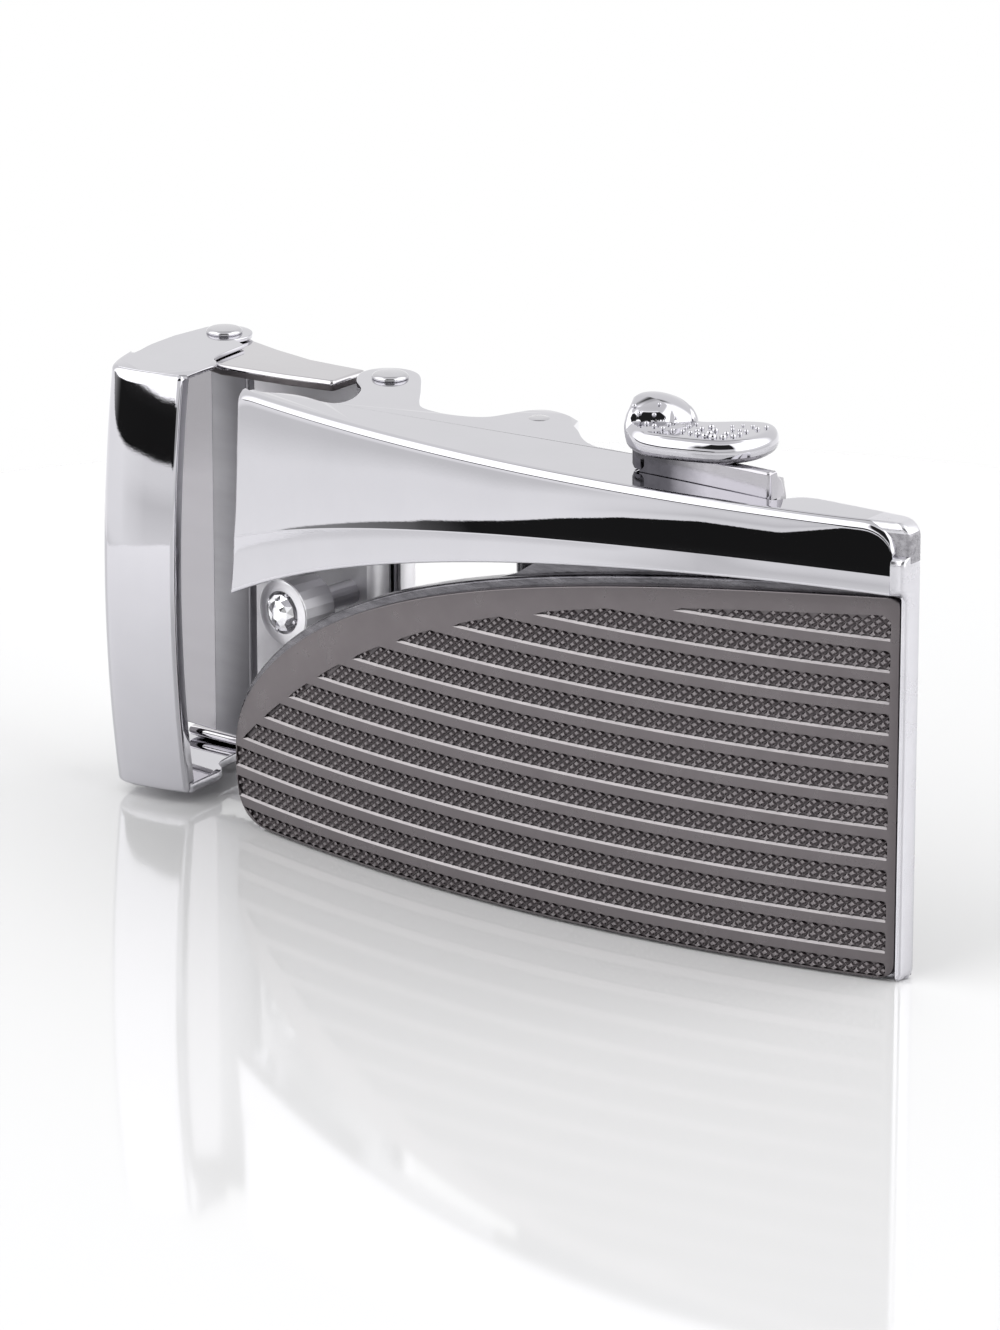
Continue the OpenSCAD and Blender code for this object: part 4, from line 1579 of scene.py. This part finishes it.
    def setting(self) -> Piece:
        """The small grains round the stone that hold it in the stud."""
        draft = Draft(self.stud_axes())
        grain = [(0.0, 0.4), (0.26, 0.3), (0.3, 0.1), (0.24, -0.1), (0.12, -0.18), (0.0, -0.2)]
        reach = self.stone_d / 2 + 0.04
        for k in range(4):
            a = math.radians(20 + 90 * k)
            draft.lathe((reach * math.cos(a), reach * math.sin(a)), grain, 14)
        return draft.build("stud_grains", crease=60.0, weighted=False)

    def build(self) -> None:
        """Builds and dresses the clamp."""
        look = self.finishes
        arms, shade_layer = self.arms()
        fit_out(arms, Body.CLAMP, look.nickel, ["clamp_frame"])
        # The upper arm's lower layer is painted shade, in the dark finish.
        fit_out(shade_layer, Body.CLAMP, look.ground_and_shade)
        # The back plate and barrel take the whiter nickel: painted light.
        fit_out(self.back_plate(), Body.CLAMP, look.rough_lit_nickel)
        fit_out(self.barrel(), Body.CLAMP, look.rough_lit_nickel)
        top, low = self.rivets()
        fit_out(top, Body.CLAMP, look.steel, ["loop_rivet_top"])
        fit_out(low, Body.CLAMP, look.steel, ["loop_rivet_bottom"])
        fit_out(self.stud(), Body.CLAMP, look.satin, ["stud"])
        fit_out(self.stud_side(), Body.CLAMP, look.dull_nickel)
        fit_out(self.setting(), Body.CLAMP, look.chrome)
        fit_out(self.stone(), Body.CLAMP, look.stone, ["crystal"])


def head_profile(r: float, h: float) -> list[Point2]:
    """Profile of a domed rivet head with a rolled edge, standing on z = 0.

    Args:
        r: its radius.
        h: its height.

    Returns:
        [radius, height] points, from its foot to its top.
    """
    side, roll = 0.3 * h, 0.28 * r
    out = [(r - 0.1, 0.0), (r - 0.02, 0.04), (r, 0.1), (r, side)]
    out += [(r - roll * (1 - math.cos(a)), side + (0.9 * h - side) * math.sin(a))
            for a in quarter(6, 1)]
    out += [((r - roll) * (1 - i / 6), h * (1 - 0.1 * (1 - i / 6) ** 2)) for i in range(1, 7)]
    return out


@dataclass
class Pins:
    """The two pins that run right across the buckle."""

    finishes: Finishes
    head_h: float = 0.5
    play: float = 0.02

    def build(self) -> None:
        """Builds and dresses both pins."""
        top, r = S.body_h, S.pin_r - self.play
        bar = [(S.pin_r - 0.15, 0.02), (r, 0.12), (r, top)]
        head = [(p, top + z) for p, z in head_profile(S.head_r, self.head_h)]
        plain = [(r - 0.25, 0.0), (r, 0.1), (r, top - 0.02), (r - 0.12, top + 0.05),
                 (0.4, top + 0.07), (0.0, top + 0.07)]
        for name, node, at, profile, sides in (
                ("hinge_pin_bar", "hinge_pin", S.hinge, bar + head, 56),
                ("pawl_pin_bar", "pawl_pin", S.pawl_pivot, plain, 48)):
            draft = Draft()
            draft.lathe(at, profile, sides)
            piece = draft.build(name, crease=50.0, weighted=False)
            fit_out(piece, Body.BODY, self.finishes.steel, [node])


# Turns a plate's own axes so that its plan stands upright, across the buckle.
UPRIGHT = Matrix(((0, 0, 1, 0), (1, 0, 0, 0), (0, 1, 0, 0), (0, 0, 0, 1)))


@dataclass
class Pawl:
    """The pawl behind the strap, with the bridge and ear that carry the thumb pad."""

    finishes: Finishes
    ear_x0: float = 10.8
    ear_x1: float = 23.8
    ear_y0: float = 4.7
    pawl_x1: float = 21.0
    pawl_y: float = 9.7
    pad_z: float = 41.3
    barrel_r: float = 1.9
    side_gap: Point2 = (0.8, 0.9)

    def plate(self) -> Piece:
        """The barrel, the plate and its tooth, inside the body."""
        x0, x1, y0, y1 = self.ear_x0, self.ear_x1, self.pawl_y, self.pawl_y + S.sheet_t
        z0, z1 = S.wall_t + self.side_gap[0], S.wall_top - self.side_gap[1]
        draft = Draft()
        draft.plate(arc(*S.pawl_pivot, self.barrel_r, 0, 360, 40)[:-1], z0, z1)
        sheet = [(-6.0, 10.75), (x0, y0), (x1, y0), (x1, y1), (x0, y1), (-5.0, 11.9)]
        draft.plate(sheet, z0 + 0.01, z1 - 0.01)
        tooth = [(14, y0 + 0.1), (15.4, y0 - 1.4), (16, y0 - 1.4), (16, y0 + 0.1)]
        draft.plate(tooth, 6, S.body_h - 6, 0.06, 0.06)
        far = self.pawl_x1
        neck = [(x0 + .02, y0 + .02), (far, y0 + .02), (far, y1 - .02), (x0 + .02, y1 - .02)]
        draft.plate(neck, z1 - 0.5, S.body_h - 0.2, 0.1, 0.1)
        return draft.build("pawl_plate")

    def bridge(self) -> Piece:
        """The bridge over the wall and the upright ear, with its turned-back end."""
        t, top, high, pad = S.sheet_t, S.body_h, S.wall_top, self.pad_z
        x0, x1, y0, y1 = self.ear_x0, self.ear_x1, self.ear_y0, self.pawl_y + t
        draft = Draft()
        deck = [(x0, y0 + 0.3), (x1, y0 + 0.3), (x1, y0 + 2.4), (self.pawl_x1, y1), (x0, y1)]
        draft.plate(deck, high, top - 0.1, 0.12, 0.12)
        ear = rounded([(x0, y0), (x1, y0), (x1, y0 + t), (x0, y0 + t)], {1: 0.45})
        draft.plate(ear, high + 0.02, pad - 0.02, 0.3, 0.1)
        end = Draft(Matrix.Translation((x1 - t, 0, 0)) @ UPRIGHT)
        plan = [(y0 + 0.1, high + 0.1), (y0 + 2.3, high + 0.1), (y0 + 2.3, top + 0.3),
                (y0 + 1.9, top + 1.2), (y0 + 1.1, top + 1.9), (y0 + 0.1, pad - 0.1)]
        end.plate(rounded(plan, {2: 0.4, 3: 0.4, 4: 0.3}), 0.0, t - 0.01, 0.25, 0.1)
        shift = len(draft.points)
        draft.points += end.points
        draft.faces += [tuple(i + shift for i in f) for f in end.faces]
        draft.lathe((x0 - 0.1, y0 + 0.75), [
            (0.5, top + 0.12), (0.82, top + 0.22), (0.95, top + 0.55), (0.95, pad - 0.4),
            (0.85, pad - 0.12), (0.6, pad)], 32)
        return draft.build("lever_ear")

    def build(self) -> None:
        """Builds and dresses the pawl."""
        # The lever ear takes steel with painted shade over its left end.
        fit_out(self.bridge(), Body.PAWL, self.finishes.shaded_left_steel, ["pawl"])
        fit_out(self.plate(), Body.PAWL, self.finishes.dark_steel)


# The heart's rim, and the line of its brow along which the beads stand.
HEART_RIM = [
    (10.15, -2.9), (10.45, -4.5), (11.3, -6.0), (12.6, -7.05), (14.3, -7.8), (16.0, -8.4),
    (17.7, -8.8), (19.3, -8.6), (20.8, -7.85), (22.0, -6.5), (22.75, -4.9), (22.8, -3.3),
    (21.9, -2.2), (20.0, -1.85), (18.0, -1.95), (16.6, -1.9), (16.0, -0.9), (14.8, 0.05),
    (13.2, 0.4), (11.5, -0.1), (10.5, -1.3)]
BROW = smooth([(11.0, -2.9), (12.0, -4.3), (13.3, -5.1), (14.9, -5.7), (16.1, -6.6), (17.3, -7.5),
               (19.0, -7.2), (20.1, -5.7), (21.8, -4.5)], 6)
# Rows of beads: how far behind the brow, and the first, last and step of their places on it.
BEAD_ROWS = ((0.0, 0, 48, 3), (1.0, 9, 45, 5), (2.0, 11, 44, 5), (3.0, 24, 40, 6))


@dataclass
class ThumbPad:
    """The puffed heart-shaped thumb pad with beads along its brow."""

    finishes: Finishes
    pad_z: float = 41.3
    angle: float = 37.0
    cap: Point2 = (12.5, -1.2)
    slope_reach: Point2 = (3.4, 4.4)
    cap_reach: Point2 = (3.7, 2.7)
    middle: Point2 = (16.4, -4.4)
    height: float = 2.05
    slope_h: float = 0.55
    cap_h: float = 1.5
    roll: float = 0.4
    bead: float = 0.6
    largest_at: int = 30
    rim_spans: int = 10
    top_rows: int = 40
    # Angles round the rolled edge: from below, over the line where the painted shade of the
    # underside ends, up.
    turns: Point3 = (-90.0, -26.0, 86.0)

    def axes(self) -> Matrix:
        """Where the pad's own axes stand: x across the view, -y to the viewer."""
        turn = Matrix.Rotation(math.radians(self.angle), 4, "Z")
        return turn @ Matrix.Translation((0, 0, self.pad_z))

    def top_at(self, x: float, y: float) -> float:
        """Height of the pad's top: a gentle slope up to the smooth cap on its left lobe."""
        dx, dy = x - self.cap[0], y - self.cap[1]
        slope, cap = (max(1 - (dx / w) ** 2 - (dy / d) ** 2, 0.0)
                      for w, d in (self.slope_reach, self.cap_reach))
        return self.height + self.slope_h * slope + self.cap_h * cap ** 0.5

    def rim(self) -> list[Point2]:
        """Points round the heart's rim, anticlockwise."""
        p, n = HEART_RIM, self.rim_spans
        return smooth([p[-1], *p, p[0], p[1]], n)[n:-2 * n]

    def heart(self) -> tuple[Piece, Piece]:
        """The puffed heart with the smooth cap on its left lobe, and its underside."""
        rim = self.rim()
        (mx, my), (start, split, end) = self.middle, self.turns
        base = inset(rim, self.height * self.roll)
        tops = [self.top_at(*q) / 2 for q in base]

        def ring(share: float, level: float | None = None) -> list[Point3]:
            """The base line drawn to the middle, at a level or on the pad's top."""
            spots = [(mx + (x - mx) * share, my + (y - my) * share) for x, y in base]
            return [(x, y, self.top_at(x, y) if level is None else level) for x, y in spots]

        def bead_line(degrees: float) -> list[Point3]:
            """A line round the rolled edge, at an angle from its outermost one."""
            c, s = math.cos(math.radians(degrees)), math.sin(math.radians(degrees))
            return [(q[0] + (p[0] - q[0]) * c, q[1] + (p[1] - q[1]) * c, r + r * s)
                    for p, q, r in zip(rim, base, tops)]

        under, upper = Draft(self.axes()), Draft(self.axes())
        under.skin([ring(share, 0.0) for share in (0.02, 0.3, 0.6, 0.9)]
                   + [bead_line(a) for a in evenly(start, split, 6)])
        upper.skin([bead_line(a) for a in evenly(split, end, 12)]
                   + [ring(1 - i / self.top_rows) for i in range(1, self.top_rows)] + [ring(0.005)])
        return (upper.build("thumb_pad", crease=60.0, weighted=False),
                under.build("thumb_pad_underside", crease=60.0, weighted=False))

    def beads(self) -> Piece:
        """The rows of raised beads along the brow, largest at the tip."""
        draft = Draft(self.axes())
        for shift, first, last, step in BEAD_ROWS:
            for i in range(first, last + 1, step):
                x, y = BROW[i][0], BROW[i][1] + shift
                near = max(0.0, 1 - abs(i - self.largest_at) / 8)
                r = self.bead / 2 * (0.75 + 0.5 * near - 0.1 * shift)
                level = self.top_at(x, y) + r * 0.15
                draft.lathe((x, y), [(r * math.sin(a), level - r * math.cos(a))
                                     for a in evenly(0.0, math.pi, 10)], 16)
        return draft.build("thumb_pad_beads", crease=60.0, weighted=False)

    def build(self) -> None:
        """Builds and dresses the thumb pad."""
        upper, under = self.heart()
        fit_out(upper, Body.PAWL, self.finishes.chrome, ["lever_pad"])
        # The pad's underside takes the dark copy of the chrome as painted shade.
        fit_out(under, Body.PAWL, self.finishes.shaded_chrome)
        fit_out(self.beads(), Body.PAWL, self.finishes.chrome)


# The tent's brightness by height, in degrees above the horizon: to the left of the
# buckle's front, ahead of it and round the camera, and behind it.
FRONT_TENT = ((-90, 0.95), (-15, 0.95), (-13, 1.25), (-4.2, 1.3), (2, 1.4), (3.2, 2.2), (62, 2.2),
              (67, 1.0), (90, 0.9))
CLOSE_TENT = ((-90, 1.18), (-15, 1.18), (-12.5, 1.1), (-8, 0.9), (-5.5, 1.1), (2, 1.2), (4, 2.2),
              (62, 2.2), (67, 1.0), (90, 0.9))
REAR_TENT = ((-90, 1.3), (-5, 1.3), (1, 1.05), (50, 1.05), (57, 0.1), (66, 0.12), (71, 0.7),
             (90, 0.9))
# The dark gap low in front and the dark camera stand: ramps that are multiplied together,
# over the height, the height above the gap's foot, or the azimuth.
GAP = (("over", Ramp(0.0, 0.006)), ("height", Ramp(0.075, 0.065)),
       ("azimuth", Ramp(math.radians(-30), math.radians(-20))),
       ("azimuth", Ramp(math.radians(40), math.radians(56), 1.0, 0.75)))
STAND = (("height", Ramp(-0.06, -0.05)), ("height", Ramp(0.90, 0.86)),
         ("height", Ramp(0.28, 0.36, 0.55, 1.0)),
         ("azimuth", Ramp(math.radians(-72), math.radians(-66))),
         ("azimuth", Ramp(math.radians(2), math.radians(-4))))
GAP_FOOT = Ramp(math.radians(67), math.radians(76), -0.056, 0.07)
NEAR_TO_FRONT = Ramp(math.radians(18), math.radians(32))
FRONT_TO_REAR = Ramp(0.32, 0.5)
LIT_TO_DARK = Ramp(0.0, 1.0, 1.0, 0.012)


@dataclass
class Studio:
    """White table, tent of soft light and the camera of the photograph."""

    # The camera that was fitted to the photograph: its place, its turn about the upright
    # axis, its tilt and its lens.
    eye: Point3 = (341.42, -452.09, 205.57)
    phi: float = 37.06
    tilt: float = 18.0
    lens: float = 193.64
    table_r: float = 0.13
    table_sides: int = 96

    def sky(self) -> None:
        """The tent: bright overhead, with a dark gap low in front and the dark camera stand."""
        world = bpy.data.worlds.new("light tent")
        bpy.context.scene.world = world
        tree = blank(world)
        phi = math.radians(self.phi)
        way = add_node(tree, "ShaderNodeTexCoord").outputs["Generated"]
        axes = add_node(tree, "ShaderNodeSeparateXYZ", {}, {0: way}).outputs
        level = add_node(tree, "ShaderNodeMapRange", {}, Ramp(-1.0, 1.0).of(axes["Z"]))
        close, front, rear = (self.strip(tree, level.outputs[0], stops)
                              for stops in (CLOSE_TENT, FRONT_TENT, REAR_TENT))
        behind = add_node(tree, "ShaderNodeVectorMath", {"operation": "DOT_PRODUCT"}, {
            0: way, 1: (-math.sin(phi), math.cos(phi), 0.0)})
        back = [add_node(tree, "ShaderNodeMath", {"operation": "MULTIPLY"}, {
            0: axes[k], 1: -1.0}).outputs[0] for k in ("X", "Y")]
        azimuth = add_node(tree, "ShaderNodeMath", {"operation": "ARCTAN2"}, {
            0: back[0], 1: back[1]}).outputs[0]
        room = close
        for ramp, value, other in ((NEAR_TO_FRONT, azimuth, front),
                                   (FRONT_TO_REAR, behind.outputs["Value"], rear)):
            share = add_node(tree, "ShaderNodeMapRange", {}, ramp.of(value))
            room = add_node(tree, "ShaderNodeMix", {"data_type": "RGBA"}, {
                0: share.outputs[0], 6: room, 7: other}).outputs[2]
        foot = add_node(tree, "ShaderNodeMapRange", {}, GAP_FOOT.of(azimuth))
        over = add_node(tree, "ShaderNodeMath", {"operation": "SUBTRACT"}, {
            0: axes["Z"], 1: foot.outputs[0]})
        read = {"height": axes["Z"], "azimuth": azimuth, "over": over.outputs[0]}
        gap, stand = self.shade(tree, read, GAP), self.shade(tree, read, STAND)
        dark = add_node(tree, "ShaderNodeMath", {"operation": "MAXIMUM"}, {0: gap, 1: stand})
        lit = add_node(tree, "ShaderNodeMapRange", {}, LIT_TO_DARK.of(dark.outputs[0]))
        tent = add_node(tree, "ShaderNodeBackground", {}, {
            "Color": room, "Strength": lit.outputs[0]})
        white = add_node(tree, "ShaderNodeBackground", {}, {
            "Color": (1, 1, 1, 1), "Strength": 1.0})
        seen = add_node(tree, "ShaderNodeLightPath").outputs["Is Camera Ray"]
        mixed = add_node(tree, "ShaderNodeMixShader", {}, {
            0: seen, 1: tent.outputs[0], 2: white.outputs[0]})
        add_node(tree, "ShaderNodeOutputWorld", {}, {"Surface": mixed.outputs[0]})

    @staticmethod
    def shade(tree: Tree, read: dict[str, Socket], ramps: Sequence[tuple[str, Ramp]]) -> Socket:
        """A dark shape in the tent.

        Args:
            tree: the world's nodes.
            read: the values that ramps can read, by name.
            ramps: the shape's ramps, each with the name of what it reads.

        Returns:
            The product of the ramps.
        """
        out: Socket | None = None
        for name, ramp in ramps:
            edge = add_node(tree, "ShaderNodeMapRange", {}, ramp.of(read[name])).outputs[0]
            out = edge if out is None else add_node(tree, "ShaderNodeMath", {
                "operation": "MULTIPLY"}, {0: out, 1: edge}).outputs[0]
        return out

    @staticmethod
    def strip(tree: Tree, level: Socket, stops: Sequence[Point2]) -> Socket:
        """One side of the tent, by height.

        Args:
            tree: the world's nodes.
            level: height, from 0 straight down to 1 straight up.
            stops: [degrees above the horizon, brightness].

        Returns:
            The colour output.
        """
        made = add_node(tree, "ShaderNodeValToRGB", {}, {0: level})
        line = made.color_ramp
        while len(line.elements) < len(stops):
            line.elements.new(0.5)
        for element, (degrees, value) in zip(line.elements, stops):
            element.position = (math.sin(math.radians(degrees)) + 1) / 2
            element.color = (value, value, value, 1.0)
        return made.outputs[0]

    def table(self) -> None:
        """A round white glossy table top."""
        mesh = bpy.data.meshes.new("table")
        n = self.table_sides
        mesh.from_pydata(circle(self.table_r, 0.0, n), [], [tuple(range(n))])
        top = bpy.data.objects.new("table", mesh)
        bpy.context.scene.collection.objects.link(top)
        material = bpy.data.materials.new("white gloss acrylic")
        tree = blank(material)
        shader = add_node(tree, "ShaderNodeBsdfPrincipled", {}, {
            "Base Color": (0.74, 0.74, 0.745, 1.0), "Roughness": 0.06, "IOR": 1.75})
        add_node(tree, "ShaderNodeOutputMaterial", {}, {"Surface": shader.outputs[0]})
        mesh.materials.append(material)

    def camera(self) -> None:
        """The camera at the photograph's place and angle."""
        data = bpy.data.cameras.new("camera")
        data.sensor_fit = "VERTICAL"
        data.sensor_height = 36.0
        data.lens = self.lens
        data.clip_start, data.clip_end = 0.01, 20.0
        camera = bpy.data.objects.new("camera", data)
        x, y, z = self.eye
        camera.location = ((x - MID_X) * MM, (y - MID_Y) * MM, z * MM)
        phi, tilt = math.radians(self.phi), math.radians(self.tilt)
        flat = math.cos(tilt)
        way = Vector((-math.sin(phi) * flat, math.cos(phi) * flat, -math.sin(tilt)))
        camera.rotation_mode = "QUATERNION"
        camera.rotation_quaternion = way.to_track_quat("-Z", "Y")
        bpy.context.scene.collection.objects.link(camera)
        bpy.context.scene.camera = camera

    def build(self) -> None:
        """Sets up the studio."""
        self.sky()
        self.table()
        self.camera()
        bpy.context.scene.view_settings.view_transform = "Standard"


def main() -> None:
    """Builds every part in order."""
    logging.basicConfig(level=logging.INFO, format="%(name)s: %(message)s")
    finishes = Finishes()
    CastBody(finishes).build()
    RibbedPanel(finishes).build()
    Pins(finishes).build()
    StrapClamp(finishes).build()
    KeeperLoop(finishes).build()
    Pawl(finishes).build()
    ThumbPad(finishes).build()
    Studio().build()


if __name__ == "__main__":
    main()
